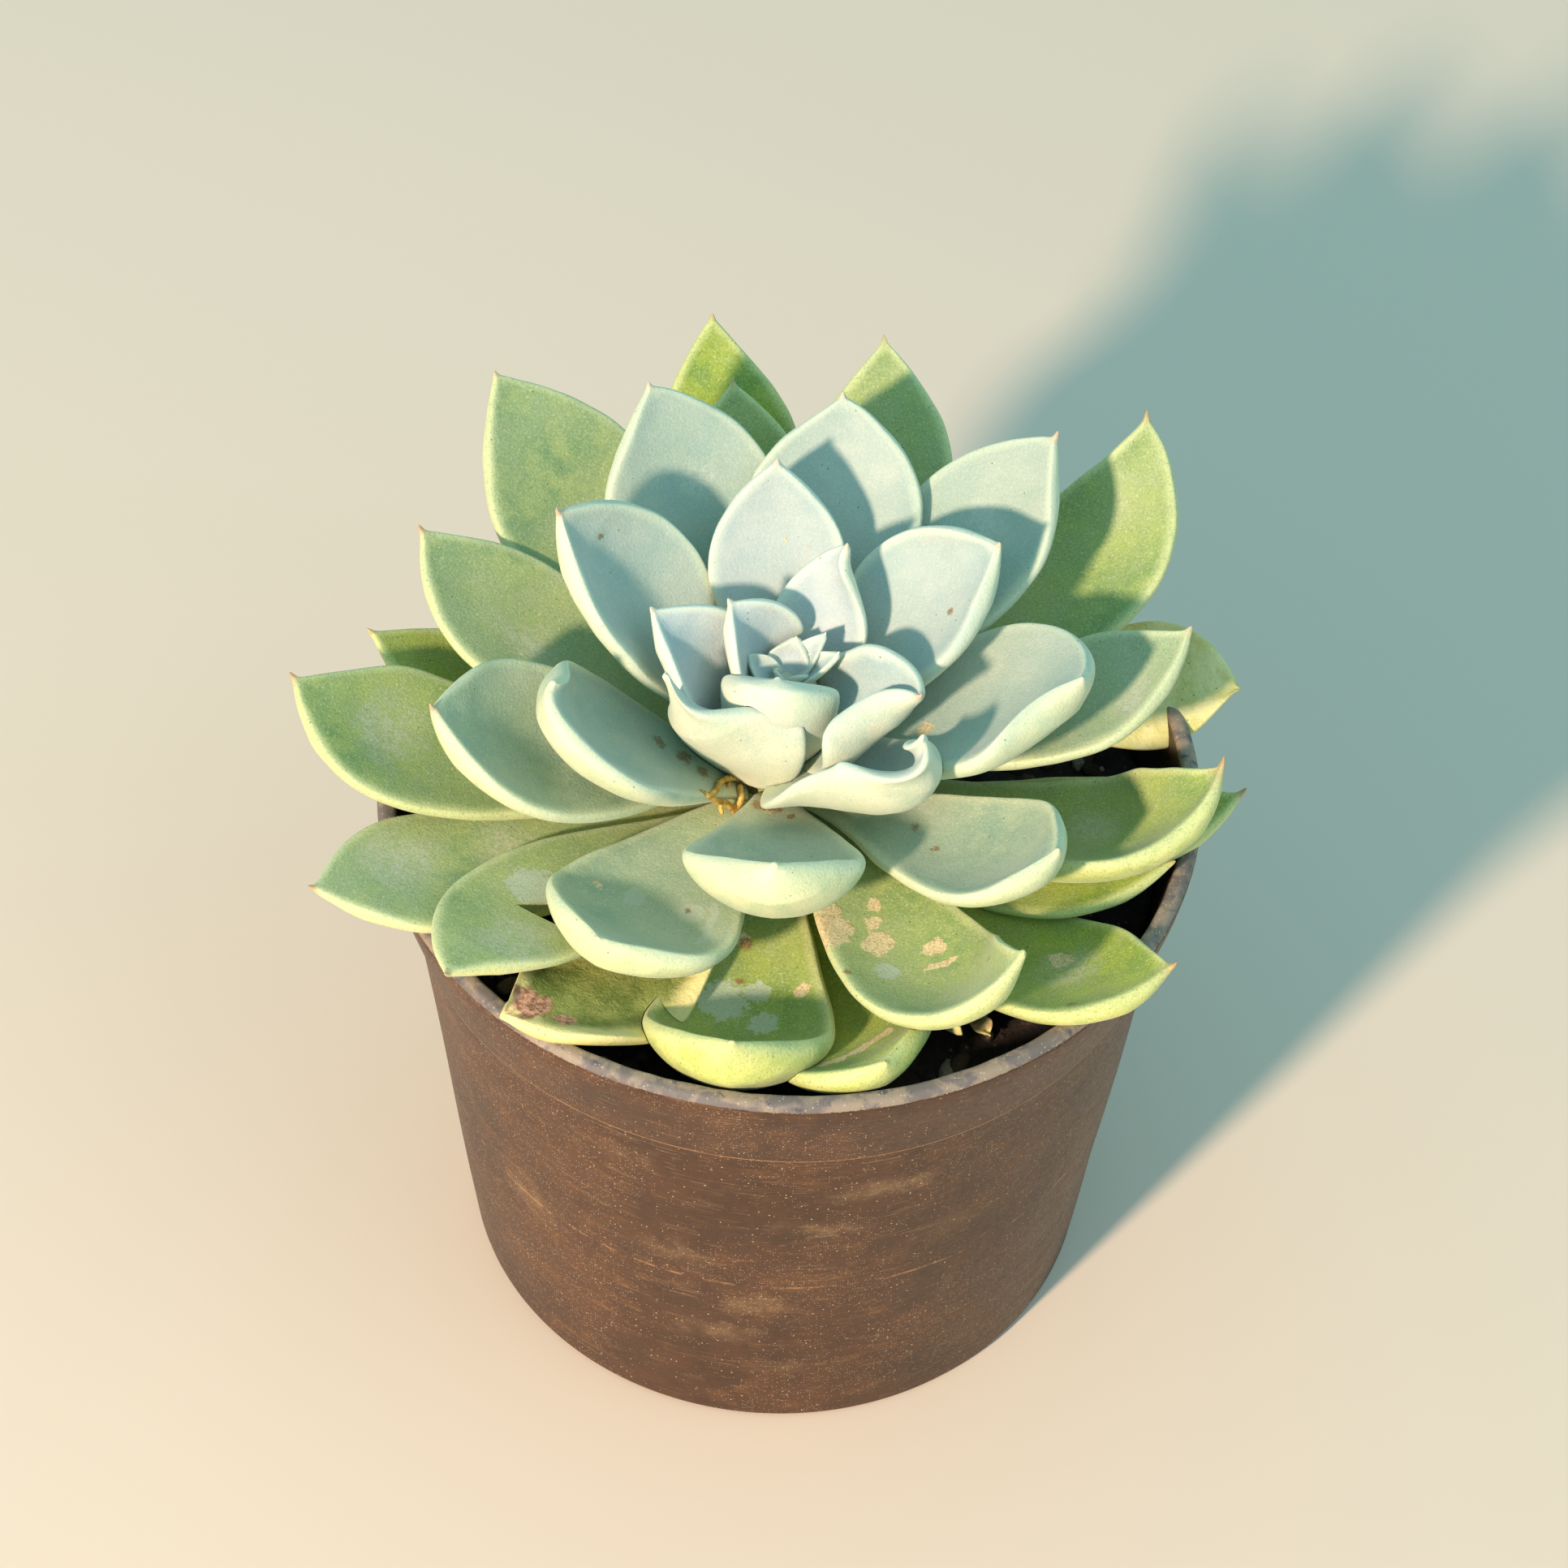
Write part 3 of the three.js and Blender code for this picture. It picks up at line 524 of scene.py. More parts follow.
class Surface:
    """A node material whose colour is laid on coat by coat. Colours are red, green and blue up to 255."""

    def __init__(self, name):
        self.material = bpy.data.materials.new(name)
        self.material.use_nodes = True
        self.tree = self.material.node_tree
        self.tree.nodes.clear()
        self.shader = self.tree.nodes.new("ShaderNodeBsdfPrincipled")
        output = self.tree.nodes.new("ShaderNodeOutputMaterial")
        self.tree.links.new(self.shader.outputs[0], output.inputs[0])
        self.place = self.scaled(self.node("TexCoord", "Object"), 1 / MM, 1 / MM, 1 / MM)
        self.colour = None

    def put(self, socket, value):
        if isinstance(value, Value):
            self.tree.links.new(value.socket, socket)
        else:
            socket.default_value = value

    def node(self, kind, output, inputs=None, **settings):
        """An output of a new node, whose inputs are values or plain numbers."""
        node = self.tree.nodes.new("ShaderNode" + kind)
        for key, setting in settings.items():
            setattr(node, key, setting)
        for key, value in (inputs or {}).items():
            self.put(node.inputs[key], value)
        return Value(self, node.outputs[output])

    def attributes(self, *names):
        return [self.node("Attribute", "Fac", attribute_name=name) for name in names]

    def scaled(self, vector, x, y, z):
        return self.node("VectorMath", 0, {0: vector, 1: (x, y, z)}, operation="MULTIPLY")

    def math(self, operation, a, b=0.0, clamp=False):
        return self.node("Math", 0, {0: a, 1: b}, operation=operation, use_clamp=clamp)

    def noise(self, vector, scale, detail, rough=0.55, distort=0.0):
        return self.node("TexNoise", "Fac", {"Vector": vector, "Scale": scale, "Detail": detail,
                                             "Roughness": rough, "Distortion": distort})

    def cells(self, vector, scale, feature="F1"):
        return self.node("TexVoronoi", "Distance", {"Vector": vector, "Scale": scale}, feature=feature)

    def range(self, value, low, high, to_low=0.0, to_high=1.0, kind="SMOOTHSTEP"):
        inputs = dict(enumerate((value, low, high, to_low, to_high)))
        return self.node("MapRange", 0, inputs, interpolation_type=kind)

    def mix(self, share, a, b):
        a, b = (tone if isinstance(tone, Value) else rgb(*tone) for tone in (a, b))
        return self.node("Mix", 2, {0: share, 6: a, 7: b}, data_type="RGBA")

    def coat(self, share, colour):
        self.colour = self.mix(share, self.colour, colour)

    def specks(self, vector, scale, size, share):
        """Small dots: in that share of the cells, a dot of that radius in cells."""
        cell = self.cells(vector, scale)
        lot = self.node("SeparateColor", 0, {0: Value(self, cell.socket.node.outputs["Color"])})
        return self.range(cell, size, size * 0.6) * self.math("LESS_THAN", lot, share)

    def bump(self, height, distance, strength, before=None):
        inputs = {"Strength": strength, "Distance": distance, "Height": height}
        if before:
            inputs["Normal"] = before
        return self.node("Bump", 0, inputs)

    def finished(self, **sockets):
        """The material, with its colour and these on the shader's sockets."""
        for key, value in dict(sockets, Base_Color=self.colour).items():
            self.put(self.shader.inputs[key.replace("_", " ")], value)
        return self.material


def leaf_material():
    s = Surface("leaf_skin")
    age, seed, edge, face, mucro, along = s.attributes("age", "seed", "edge", "face", "mucro", "along")
    dust, grey, cork, rust = s.attributes("dust", "grey", "cork", "rust")
    offset = s.node("CombineXYZ", 0, {0: seed * 11.0, 1: seed * 5.0, 2: seed * 17.0})
    at = s.node("VectorMath", 0, {0: s.place, 1: offset}, operation="ADD")
    broad = s.noise(at, 0.07, 3)
    cloud = s.noise(at, 0.28, 4, 0.6)
    grain = s.noise(at, 3.4, 3, 0.6)
    fleck = s.noise(at, 1.1, 4, 0.7)

    def aged(young, old):
        return s.mix(age, young, old)

    # Upper face: bluish and powdery when young, yellow-green and rubbed when old
    green = aged((171, 182, 180), (150, 164, 58))
    upper = s.mix(s.range(cloud, 0.35, 0.65), green, aged((152, 174, 173), (102, 136, 32)))
    powder = s.range(broad, 0.3, 0.6) * s.range(cloud, 0.25, 0.65)
    powder = powder * s.range(age, 0, 1, 0.7, 0.36, "LINEAR")
    upper = s.mix(powder, upper, aged((197, 196, 187), (200, 194, 118)))
    upper = s.mix(s.range(along, 0.42, 0.05) * 0.6, upper, aged((180, 192, 142), (196, 196, 116)))

    # Lower face: cream to yellow-green
    lower = aged((214, 211, 186), (206, 206, 106))
    lower = s.mix(s.range(cloud, 0.4, 0.7), lower, aged((196, 204, 182), (180, 190, 82)))
    lower = s.mix(s.range(broad, 0.5, 0.75) * 0.6, lower, aged((216, 216, 158), (228, 226, 152)))
    s.colour = s.mix(s.range(face, -0.05, -0.5), upper, lower)

    # Cream margin, about a millimetre broad, that frays into the green
    margin = s.range(edge + (cloud - 0.5) * 0.9, 1.7, 0.0) * s.range(age, 0, 1, 0.6, 0.7, "LINEAR")
    s.coat(margin, aged((214, 219, 194), (206, 206, 138)))

    # Papillae, dust, specks and dried water
    light, dark = aged((226, 236, 228), (222, 220, 176)), aged((132, 176, 166), (84, 118, 50))
    s.coat(s.range(grain, 0.52, 0.66) * s.range(age, 0, 0.8, 0.13, 0.24), light)
    s.coat(s.range(grain, 0.46, 0.32) * s.range(age, 0, 0.8, 0.2, 0.42), dark)
    film = s.range(dust + (cloud - 0.5) * 0.9, 0.05, 0.8) * s.range(fleck, 0.34, 0.6, 0.1, 0.75)
    film = film * s.range(grain, 0.35, 0.6, 0.5, 1.0)
    s.coat(film, aged((204, 204, 186), (184, 182, 154)))
    s.coat(s.specks(at, 1.7, 0.24, 0.3) * s.range(age, 0.35, 0.9, 0.05, 0.38), (222, 214, 178))
    dirt = s.specks(at, 1.25, 0.15, s.range(broad, 0.5, 0.7, 0.015, 0.12) + age * 0.05)
    s.coat(dirt * 0.85, (58, 52, 34))
    water = s.range(grey + (fleck - 0.5) * 1.1, 0.3, 0.4) * s.range(grain, 0.35, 0.6, 0.6, 0.95)
    s.coat(water, (178, 186, 160))

    # Cork, rust-brown blemishes and the horny tip
    ragged = cork + (fleck - 0.5) * 0.9 + (s.noise(at, 0.5, 3, 0.5) - 0.5) * 1.2
    cork = s.range(ragged, 0.3, 0.42)
    s.coat(cork, s.mix(s.range(grain, 0.4, 0.65), (222, 202, 156), (188, 160, 112)))
    rust = s.range(rust + (fleck - 0.5) * 1.3, 0.38, 0.75) * 0.8
    s.coat(rust, s.mix(s.range(grain, 0.35, 0.65), (164, 120, 66), (104, 74, 38)))
    s.coat(mucro * 0.8, aged((206, 166, 140), (160, 104, 76)))

    rough = s.range(grain, 0.3, 0.7, 0.5, 0.68, "LINEAR") - age * 0.12 * s.range(cloud, 0.4, 0.6)
    rough = s.math("ADD", rough, (cork + film) * 0.15, clamp=True)
    normal = s.bump(cloud, 0.0003, 0.4)
    normal = s.bump(s.cells(at, 3.2, "SMOOTH_F1"), 0.00008, 0.45, normal)
    normal = s.bump(cork + grain, 0.00009, 0.5, normal)
    return s.finished(Roughness=rough, Normal=normal, IOR=1.42, Subsurface_Weight=0.16,
                      Subsurface_Radius=(1.0, 1.0, 0.5), Subsurface_Scale=0.0022,
                      Sheen_Weight=0.12, Sheen_Roughness=0.5)


def withered_material():
    s = Surface("withered_leaf")
    edge, face, along, pallor, rust = s.attributes("edge", "face", "along", "pallor", "rust")
    broad = s.noise(s.place, 0.12, 3)
    cloud = s.noise(s.place, 0.3, 4, 0.6)
    fleck = s.noise(s.place, 1.3, 4, 0.7)
    grain = s.noise(s.place, 3.0, 3, 0.6)
    mottle = s.range(cloud, 0.35, 0.65)
    s.colour = s.mix(mottle, (150, 156, 78), (112, 124, 50))
    s.coat(s.range(broad, 0.45, 0.65) * 0.5, (176, 168, 92))
    s.coat(s.range(edge + cloud * 2.4, 4.8, 2.2), (228, 212, 142))
    s.coat(s.range(face, -0.05, -0.4) * 0.6, (206, 200, 118))
    s.coat(pallor * s.range(fleck, 0.25, 0.5, 0.7, 0.95), s.mix(mottle, (222, 212, 150), (202, 194, 118)))
    s.coat(s.range(along, 0.42, 0.14), s.mix(s.range(fleck, 0.4, 0.6), (176, 130, 84), (120, 82, 50)))
    dry = s.range(rust + (s.noise(s.place, 0.7, 3, 0.5) - 0.5) * 1.2, 0.3, 0.55)
    s.coat(dry, s.mix(s.range(fleck, 0.4, 0.62), (206, 150, 120), (132, 88, 62)))
    s.coat(s.specks(s.place, 1.4, 0.2, 0.16) * 0.7, (84, 66, 40))
    s.coat(s.range(grain, 0.5, 0.7) * 0.25, (226, 214, 168))
    wrinkles = s.bump(s.noise(s.place, 0.8, 5, 0.65, 1.2), 0.0004, 0.7)
    return s.finished(Roughness=s.range(fleck, 0.3, 0.7, 0.6, 0.85, "LINEAR"),
                      Normal=s.bump(grain, 0.0001, 0.6, wrinkles), Subsurface_Weight=0.12,
                      Subsurface_Radius=(1.0, 0.8, 0.4), Subsurface_Scale=0.002)


def pot_material():
    s = Surface("dusty_brown_plastic")
    worn, scuff, inside_wall_shade = s.attributes("rim", "scuff", "inside_wall_shade")
    broad = s.noise(s.place, 0.045, 4)
    cloud = s.noise(s.place, 0.16, 5, 0.6)
    wisp = s.noise(s.place, 0.3, 5, 0.62, 0.4)
    streak = s.noise(s.scaled(s.place, 0.16, 0.16, 0.9), 1.0, 5, 0.65, 0.8)
    scratch = s.noise(s.scaled(s.place, 0.1, 0.1, 8.0), 1.0, 2, 0.5, 0.3)
    fine = s.noise(s.place, 1.6, 4, 0.65)
    grain = s.noise(s.place, 5.0, 2, 0.6)
    s.colour = s.mix(s.range(cloud, 0.35, 0.68), (60, 34, 16), (74, 43, 22))
    s.coat(s.range(broad, 0.45, 0.72) * 0.5, (91, 54, 29))

    # A film of dust, wispy and streaked round the wall, thicker in a few smears
    film = s.range(streak, 0.44, 0.66) * s.range(broad, 0.32, 0.6) * s.range(wisp, 0.38, 0.62, 0.1, 1.0)
    s.coat(film * 0.3, (142, 98, 58))
    smear = s.range(scuff + (wisp - 0.5) * 1.1, 0.2, 1.0) * s.range(grain, 0.3, 0.6, 0.5, 1.0)
    s.coat(smear * 0.34, (170, 136, 98))
    crowd = s.range(broad, 0.38, 0.6, 0.05, 0.45) + smear * 0.4
    s.coat(s.specks(s.place, 3.2, 0.34, crowd) * 0.5, (186, 160, 128))
    s.coat(s.specks(s.place, 1.5, 0.2, s.range(cloud, 0.35, 0.7, 0.04, 0.3)) * 0.7, (214, 186, 146))
    s.coat(s.range(scratch, 0.63, 0.66) * s.range(wisp, 0.45, 0.56) * 0.3, (186, 146, 104))

    # The fine pale line under the rim band, and a fainter ring lower down
    height = s.node("SeparateXYZ", 2, {0: s.place}) + (cloud - 0.5) * 0.25
    line, ring = (s.math("ABSOLUTE", height - level) for level in (LINE_HEIGHT, RING_HEIGHT))
    line = s.range(line, 0.28, 0.12) * s.range(fine, 0.32, 0.55, 0.4, 0.95)
    ring = s.range(ring, 0.3, 0.1) * s.range(wisp, 0.46, 0.6, 0.0, 0.5)
    lines = s.math("MAXIMUM", line, ring) * (1.0 - inside_wall_shade)
    s.coat(lines * 0.85, (196, 142, 92))

    # The lip is worn grey, with a few dark patches
    lip = s.range(worn + (fine - 0.5) * 0.5, 0.42, 0.6)
    grey = s.mix(s.range(wisp, 0.4, 0.58), (146, 128, 108), (108, 98, 92))
    grey = s.mix(s.range(s.noise(s.place, 0.45, 4, 0.6), 0.56, 0.72), grey, (76, 74, 82))
    grey = s.mix(s.specks(s.place, 2.2, 0.3, 0.3) * 0.5, grey, (196, 184, 158))
    s.coat(lip, grey)
    # Painted shade: the inside of the wall is painted near-black, standing in for the shade that falls inside the
    # pot
    s.coat(inside_wall_shade * 0.75, (34, 27, 26))
    rough = s.range(fine, 0.3, 0.7, 0.34, 0.52, "LINEAR")
    rough = s.math("ADD", rough, (film + (smear + lip)) * 0.2, clamp=True)
    normal = s.bump(streak, 0.00015, 0.2, s.bump(cloud, 0.0006, 0.3))
    normal = s.bump(grain * 0.6 + (smear - lines), 0.00012, 0.6, normal)
    return s.finished(Roughness=rough, Normal=normal, IOR=1.48)


def soil_material():
    s = Surface("dark_peat")
    crumb, = s.attributes("crumb")
    cloud = s.noise(s.place, 0.3, 4, 0.6)
    fine = s.noise(s.place, 1.8, 5, 0.7)
    s.colour = s.mix(s.range(cloud, 0.35, 0.65), (34, 25, 18), (56, 41, 29))
    s.coat(s.range(crumb, 0.45, 0.8), (92, 68, 46))
    s.coat(s.range(crumb, 0.93, 0.97), (176, 160, 134))
    s.coat(s.specks(s.place, 1.1, 0.3, 0.14) * 0.7, (120, 96, 70))
    return s.finished(Roughness=s.range(fine, 0.3, 0.7, 0.85, 1.0, "LINEAR"), Normal=s.bump(fine, 0.0006, 0.9))


def stem_material():
    s = Surface("woody_stem")
    scar, = s.attributes("scar")
    bark = s.noise(s.scaled(s.place, 1.0, 1.0, 0.35), 1.2, 5, 0.65)
    cloud = s.noise(s.place, 0.35, 4, 0.6)
    s.colour = s.mix(s.range(bark, 0.35, 0.65), (150, 128, 78), (108, 84, 52))
    s.coat(s.range(cloud, 0.45, 0.7), (158, 158, 88))
    s.coat(scar * 0.8, (196, 172, 124))
    s.coat(s.specks(s.place, 1.2, 0.3, 0.2) * 0.8, (60, 42, 28))
    return s.finished(Roughness=s.range(bark, 0.3, 0.7, 0.7, 0.92, "LINEAR"), Normal=s.bump(bark, 0.0006, 0.8))


def root_material():
    s = Surface("amber_root")
    cloud = s.noise(s.place, 0.9, 4, 0.6)
    fine = s.noise(s.place, 3.5, 3, 0.6)
    s.colour = s.mix(s.range(cloud, 0.35, 0.65), (214, 178, 84), (168, 122, 52))
    s.coat(s.range(fine, 0.58, 0.7), (96, 58, 30))
    return s.finished(Roughness=s.range(fine, 0.3, 0.7, 0.3, 0.5, "LINEAR"), Normal=s.bump(fine, 0.0002, 0.6),
                      Subsurface_Weight=0.2, Subsurface_Radius=(1.0, 0.7, 0.3), Subsurface_Scale=0.001)


# Leaves

LEAF = leaf_material()
WITHERED = withered_material()
FINE_MESH, PLAIN_MESH = (118, 48), (64, 26)  # points along and around; fine for small marks
blades = []
for number, leaf in enumerate(LEAVES):
    marked = any(kind != "dust" for *_, kind in MARKS.get(leaf["name"], []))
    grid, faces, values = blade(leaf, number + 1, *(FINE_MESH if marked else PLAIN_MESH))
    values.update(marks_on(leaf, grid, values))
    age = AGES.get(leaf["name"], float(clamp01((YOUNG_ABOVE - leaf["z"]) / AGEING)))
    values.update(even(len(grid), age=age, seed=number + 1, pallor=leaf["name"] == "leaf_01"))
    blades.append((leaf, grid, faces, values))
rooms = [swollen(f"room_{i}", grid, faces, ROOM) for i, (leaf, grid, faces, values) in enumerate(blades)]
skins = [BVHTree.FromPolygons([Vector(p) for p in grid], faces) for leaf, grid, faces, values in blades]
for number, (leaf, grid, faces, values) in enumerate(blades):
    name = leaf["name"]
    piece = make_piece(name.replace("leaf", "blade"), grid, faces, values)
    # Where two blades would cross, the earlier one gives way, as in the model
    cutters = [rooms[i] for i in range(number + 1, len(blades)) if skins[number].overlap(skins[i])]
    if name == NOTCHED:
        wedge = prism("wedge", NOTCH, 76, 100)
        cutters.append(wedge)
    if cutters and not carve(piece, cutters, grid, values):
        print("not cut:", name)
    if name == NOTCHED:
        drop(wedge)
    withered = name in ("leaf_01", "leaf_02", "dried_leaf")
    dress(piece, WITHERED if withered else LEAF)
    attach(piece, "root")
    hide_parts(name)
    "withered_leaf" if withered else "young_leaf" if leaf["z"] > CROWN_START else "old_leaf"
for room in rooms:
    drop(room)

# The heart: tiny leaves on their mound
unmarked = dict.fromkeys(KINDS, 0)
heart_parts = []
for number, leaf in enumerate(HEART_LEAVES):
    grid, faces, values = blade(leaf, 60 + number, rows=30, cols=16)
    values.update(even(len(grid), age=0.05, seed=60 + number, pallor=0, **unmarked))
    heart_parts.append((grid, faces, values))
mound_profile = [(0, CROWN_TOP + SEAT_GAP), (2.4, 97.3), (3.9, 97.45), (4.2, 98), (3.8, 98.5), (2.9, 98.95),
                 (1.6, 99.4), (0, 99.6)]
grid, faces = lathe(mound_profile, 40)
heart_parts.append((grid + PLANT, faces, even(len(grid), along=0.3, across=0, edge=4, face=1, mucro=0,
                                              age=0.25, seed=70, pallor=0, **unmarked)))
heart = make_piece("heart_leaves", *joined(heart_parts))
dress(heart, LEAF)
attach(heart, "root")
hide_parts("heart")


# Pot

def rounded(points, radius, steps=3):
    """The profile with each corner eased over that length."""
    out = [points[0]]
    for before, here, after in zip(points, points[1:], points[2:]):
        here = np.array(here, float)
        back, on = np.array(before, float) - here, np.array(after, float) - here
        reach = min(radius, np.linalg.norm(back) * 0.4, np.linalg.norm(on) * 0.4)
        start, stop = here + normal_of(back) * reach, here + normal_of(on) * reach
        for t in np.linspace(0, 1, steps + 1):
            out.append(tuple((1 - t) ** 2 * start + 2 * t * (1 - t) * here + t * t * stop))
    return out + [points[-1]]


def spaced(points, gap):
    """The profile with extra points, so that none are further apart than gap."""
    out = [points[0]]
    for a, b in zip(points, points[1:]):
        a, b = np.array(a, float), np.array(b, float)
        count = max(1, int(np.linalg.norm(b - a) / gap))
        out += [tuple(a + (b - a) * (i + 1) / count) for i in range(count)]
    return out


BAND_FOOT, INNER_FLOOR = POT_HEIGHT - BAND_DEPTH, FOOT_RECESS + FLOOR
slope = (BAND_RADIUS - FOOT_RADIUS) / BAND_FOOT
pot_profile = [
    (0, 0), (FOOT_PAD, 0), (FOOT_PAD + 1, FOOT_RECESS), (FOOT_RADIUS - FOOT_RING, FOOT_RECESS),
    (FOOT_RADIUS - FOOT_RING + 1, 0), (FOOT_RADIUS - 0.8, 0), (FOOT_RADIUS, 1),
    (BAND_RADIUS - 0.05, BAND_FOOT - 0.3), (BAND_RADIUS + 0.45, BAND_FOOT + 0.1),
    (BAND_RADIUS + 0.5, BAND_FOOT + 0.5), (RIM_RADIUS - 0.5, POT_HEIGHT - 4),
    (RIM_RADIUS, POT_HEIGHT - 1), (RIM_RADIUS - 0.7, POT_HEIGHT), (RIM_RADIUS - LIP + 0.3, POT_HEIGHT),
    (RIM_RADIUS - LIP, POT_HEIGHT - 1), (BAND_RADIUS - WALL, BAND_FOOT),
    (FOOT_RADIUS - WALL + slope * 2, INNER_FLOOR + 2), (FOOT_RADIUS - WALL - 2, INNER_FLOOR),
    (0, INNER_FLOOR),
]
grid, faces = lathe(spaced(rounded(pot_profile, 0.45), 1.6), 300)
radius, rise = np.hypot(grid[:, 0], grid[:, 1]), grid[:, 2]
bearing = np.degrees(np.arctan2(grid[:, 1], grid[:, 0]))
wall_inside = np.interp(rise, [INNER_FLOOR + 2, BAND_FOOT, POT_HEIGHT - 1],
                        [FOOT_RADIUS - WALL + slope * 2, BAND_RADIUS - WALL, RIM_RADIUS - LIP]) + 0.4
# The inside of the wall, above the pot's floor: kept free of dust, and painted dark there as shade by the material
inside_wall_shade = smooth((wall_inside - radius) / 0.5 + 0.5) * (rise > INNER_FLOOR - 0.2)
rim = smooth((rise - (POT_HEIGHT - 1.6)) / 1.4)
# Dust smears on the wall: azimuth, height, reach round and up, strength
SMEARS = [(287, 58, 9, 4, 1.0), (278, 50, 12, 4, 0.7), (268, 30, 7, 5, 0.8), (255, 40, 8, 6, 0.75),
          (262, 22, 9, 5, 0.8), (245, 60, 10, 5, 0.6), (300, 44, 10, 6, 0.6), (225, 35, 12, 8, 0.7),
          (320, 62, 12, 5, 0.5), (205, 60, 14, 6, 0.6), (275, 14, 12, 5, 0.6), (180, 30, 14, 9, 0.7),
          (120, 50, 16, 8, 0.7), (60, 35, 15, 9, 0.7), (20, 55, 14, 7, 0.6), (90, 20, 14, 6, 0.6)]
scuff = np.zeros(len(grid))
for azimuth, height, around, upward, strength in SMEARS:
    turn = (bearing - azimuth + 180) % 360 - 180
    away = np.hypot(turn / (around * 1.5), (rise - height) / upward)
    scuff = np.maximum(scuff, strength * clamp01(1 - away))
values = dict(rim=rim * (1 - 0.2 * inside_wall_shade), scuff=scuff * (1 - inside_wall_shade), inside_wall_shade=inside_wall_shade * (1 - rim))
# Slightly out of round, with a chipped, uneven lip
grid[:, :2] += wobble(grid, 0.03, 5, 0.5)[:, :2] * smooth(rise / 20)[:, None]
grid += wobble(grid, 0.35, 9, 0.12) * (rim * smooth((rise - 79) / 2))[:, None]
grid[:, 2] = np.where(rise < 0.01, 0, grid[:, 2])
pot = make_piece("pot_shell", grid, faces, values)
for i in range(DRAIN_COUNT):
    angle = (i + 0.5) / DRAIN_COUNT * 2 * math.pi
    hole = prism(f"hole_{i}", [(DRAIN_CIRCLE * math.cos(angle) + DRAIN_RADIUS * math.cos(t),
                                DRAIN_CIRCLE * math.sin(angle) + DRAIN_RADIUS * math.sin(t))
                               for t in round_circle(40)], -2, 6)
    change_mesh(pot, cut(pot, [hole], "EXACT"), pot.name)
    drop(hole)
dress(pot, pot_material())
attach(pot, "root")
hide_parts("pot")


# Soil

def soil_height(x, y):
    swell = np.sin(x * 0.21 + 1) * np.cos(y * 0.17) + 0.6 * np.sin(x * 0.43 - y * 0.38)
    return SOIL_TOP + 0.8 * swell


soil_foot = INNER_FLOOR + SEAT_GAP
soil_profile = [(0, soil_foot), (20, soil_foot), (30, soil_foot), (FOOT_RADIUS - WALL - 2.4, soil_foot),
                (FOOT_RADIUS - WALL + slope * 2 - 0.4, INNER_FLOOR + 2.1),
                (BAND_RADIUS - WALL - 0.4, BAND_FOOT), (BAND_RADIUS - WALL - 0.1, SOIL_TOP)]
soil_profile += [(r, SOIL_TOP) for r in np.arange(45.6, 6.0, -0.75)] + [(0, SOIL_TOP)]
grid, faces = lathe(soil_profile, 260)
top = grid[:, 2] > SOIL_TOP - 0.1
lumps = wobble(grid, 0.35, 21, 1.0)[:, 2] * 0.7 + wobble(grid, 0.9, 22, 1.0)[:, 2] * 0.5
grid[:, 2] = np.where(top, soil_height(grid[:, 0], grid[:, 1]) + lumps, grid[:, 2])
soil_parts = [(grid, faces, dict(crumb=0.35 * clamp01(0.5 + lumps)))]
rng = np.random.default_rng(11)
ball = bmesh.new()
bmesh.ops.create_icosphere(ball, subdivisions=2, radius=1.0)
ball_points = np.array([v.co for v in ball.verts])
ball_faces = [tuple(v.index for v in f.verts) for f in ball.faces]
ball.free()
for i in range(CRUMBS):
    reach = 45.3 * math.sqrt(rng.uniform(0.02, 1))
    turn = rng.uniform(0, 2 * math.pi)
    x, y = reach * math.cos(turn), reach * math.sin(turn)
    if math.hypot(x - PLANT[0], y - PLANT[1]) < STEM_RADIUS + 1.6:
        continue
    size = rng.uniform(0.35, 1.5) ** 1.2
    stretch = np.array([rng.uniform(0.7, 1.5), rng.uniform(0.7, 1.2), rng.uniform(0.5, 0.9)]) * size
    spin = Matrix.Rotation(rng.uniform(0, 6.3), 3, "Z") @ Matrix.Rotation(rng.uniform(-0.6, 0.6), 3, "X")
    lump = ball_points * (1 + 0.3 * wobble(ball_points, 1.1, i, 1.0)[:, :1]) * stretch
    lump = lump @ np.array(spin).T
    space = min(1.0, (45.9 - reach) / max(size * 1.5, 0.1))
    lump = lump * max(0.3, space) + np.array([x, y, float(soil_height(x, y)) + 0.1 * size])
    soil_parts.append((lump, ball_faces, even(len(lump), crumb=rng.uniform(0, 1))))
soil = make_piece("soil_bed", *joined(soil_parts))
dress(soil, soil_material())
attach(soil, "root")
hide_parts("soil")

# Stem, with bark and the scars of shed leaves
stem_profile = [(0, STEM_BOTTOM), (STEM_RADIUS, STEM_BOTTOM)]
stem_profile += [(float(stem_radius(z)), z) for z in np.arange(STEM_BOTTOM + 0.6, CROWN_TOP - 0.2, 0.6)]
grid, faces = lathe(stem_profile + [(0, CROWN_TOP)], 72)
bearing, height = np.degrees(np.arctan2(grid[:, 1], grid[:, 0])), grid[:, 2]
scar = np.zeros(len(grid))
for i in range(34):
    azimuth, level = (i * GOLDEN_ANGLE) % 360, 70.5 + i * 0.75
    away = np.hypot(((bearing - azimuth + 180) % 360 - 180) / 22, (height - level) / 1.5)
    scar = np.maximum(scar, clamp01(1 - away))
outward = grid * (1, 1, 0)
outward /= np.maximum(np.linalg.norm(outward, axis=1), 1e-6)[:, None]
bark = 0.35 * scar - 0.2 + 0.25 * wobble(grid, 0.5, 31, 1.0)[:, 0]
grid += outward * bark[:, None] * (grid[:, 2] < 96)[:, None]
stem = make_piece("stem_bark", grid + PLANT, faces, dict(scar=scar))
dress(stem, stem_material())
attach(stem, "root")
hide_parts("stem")

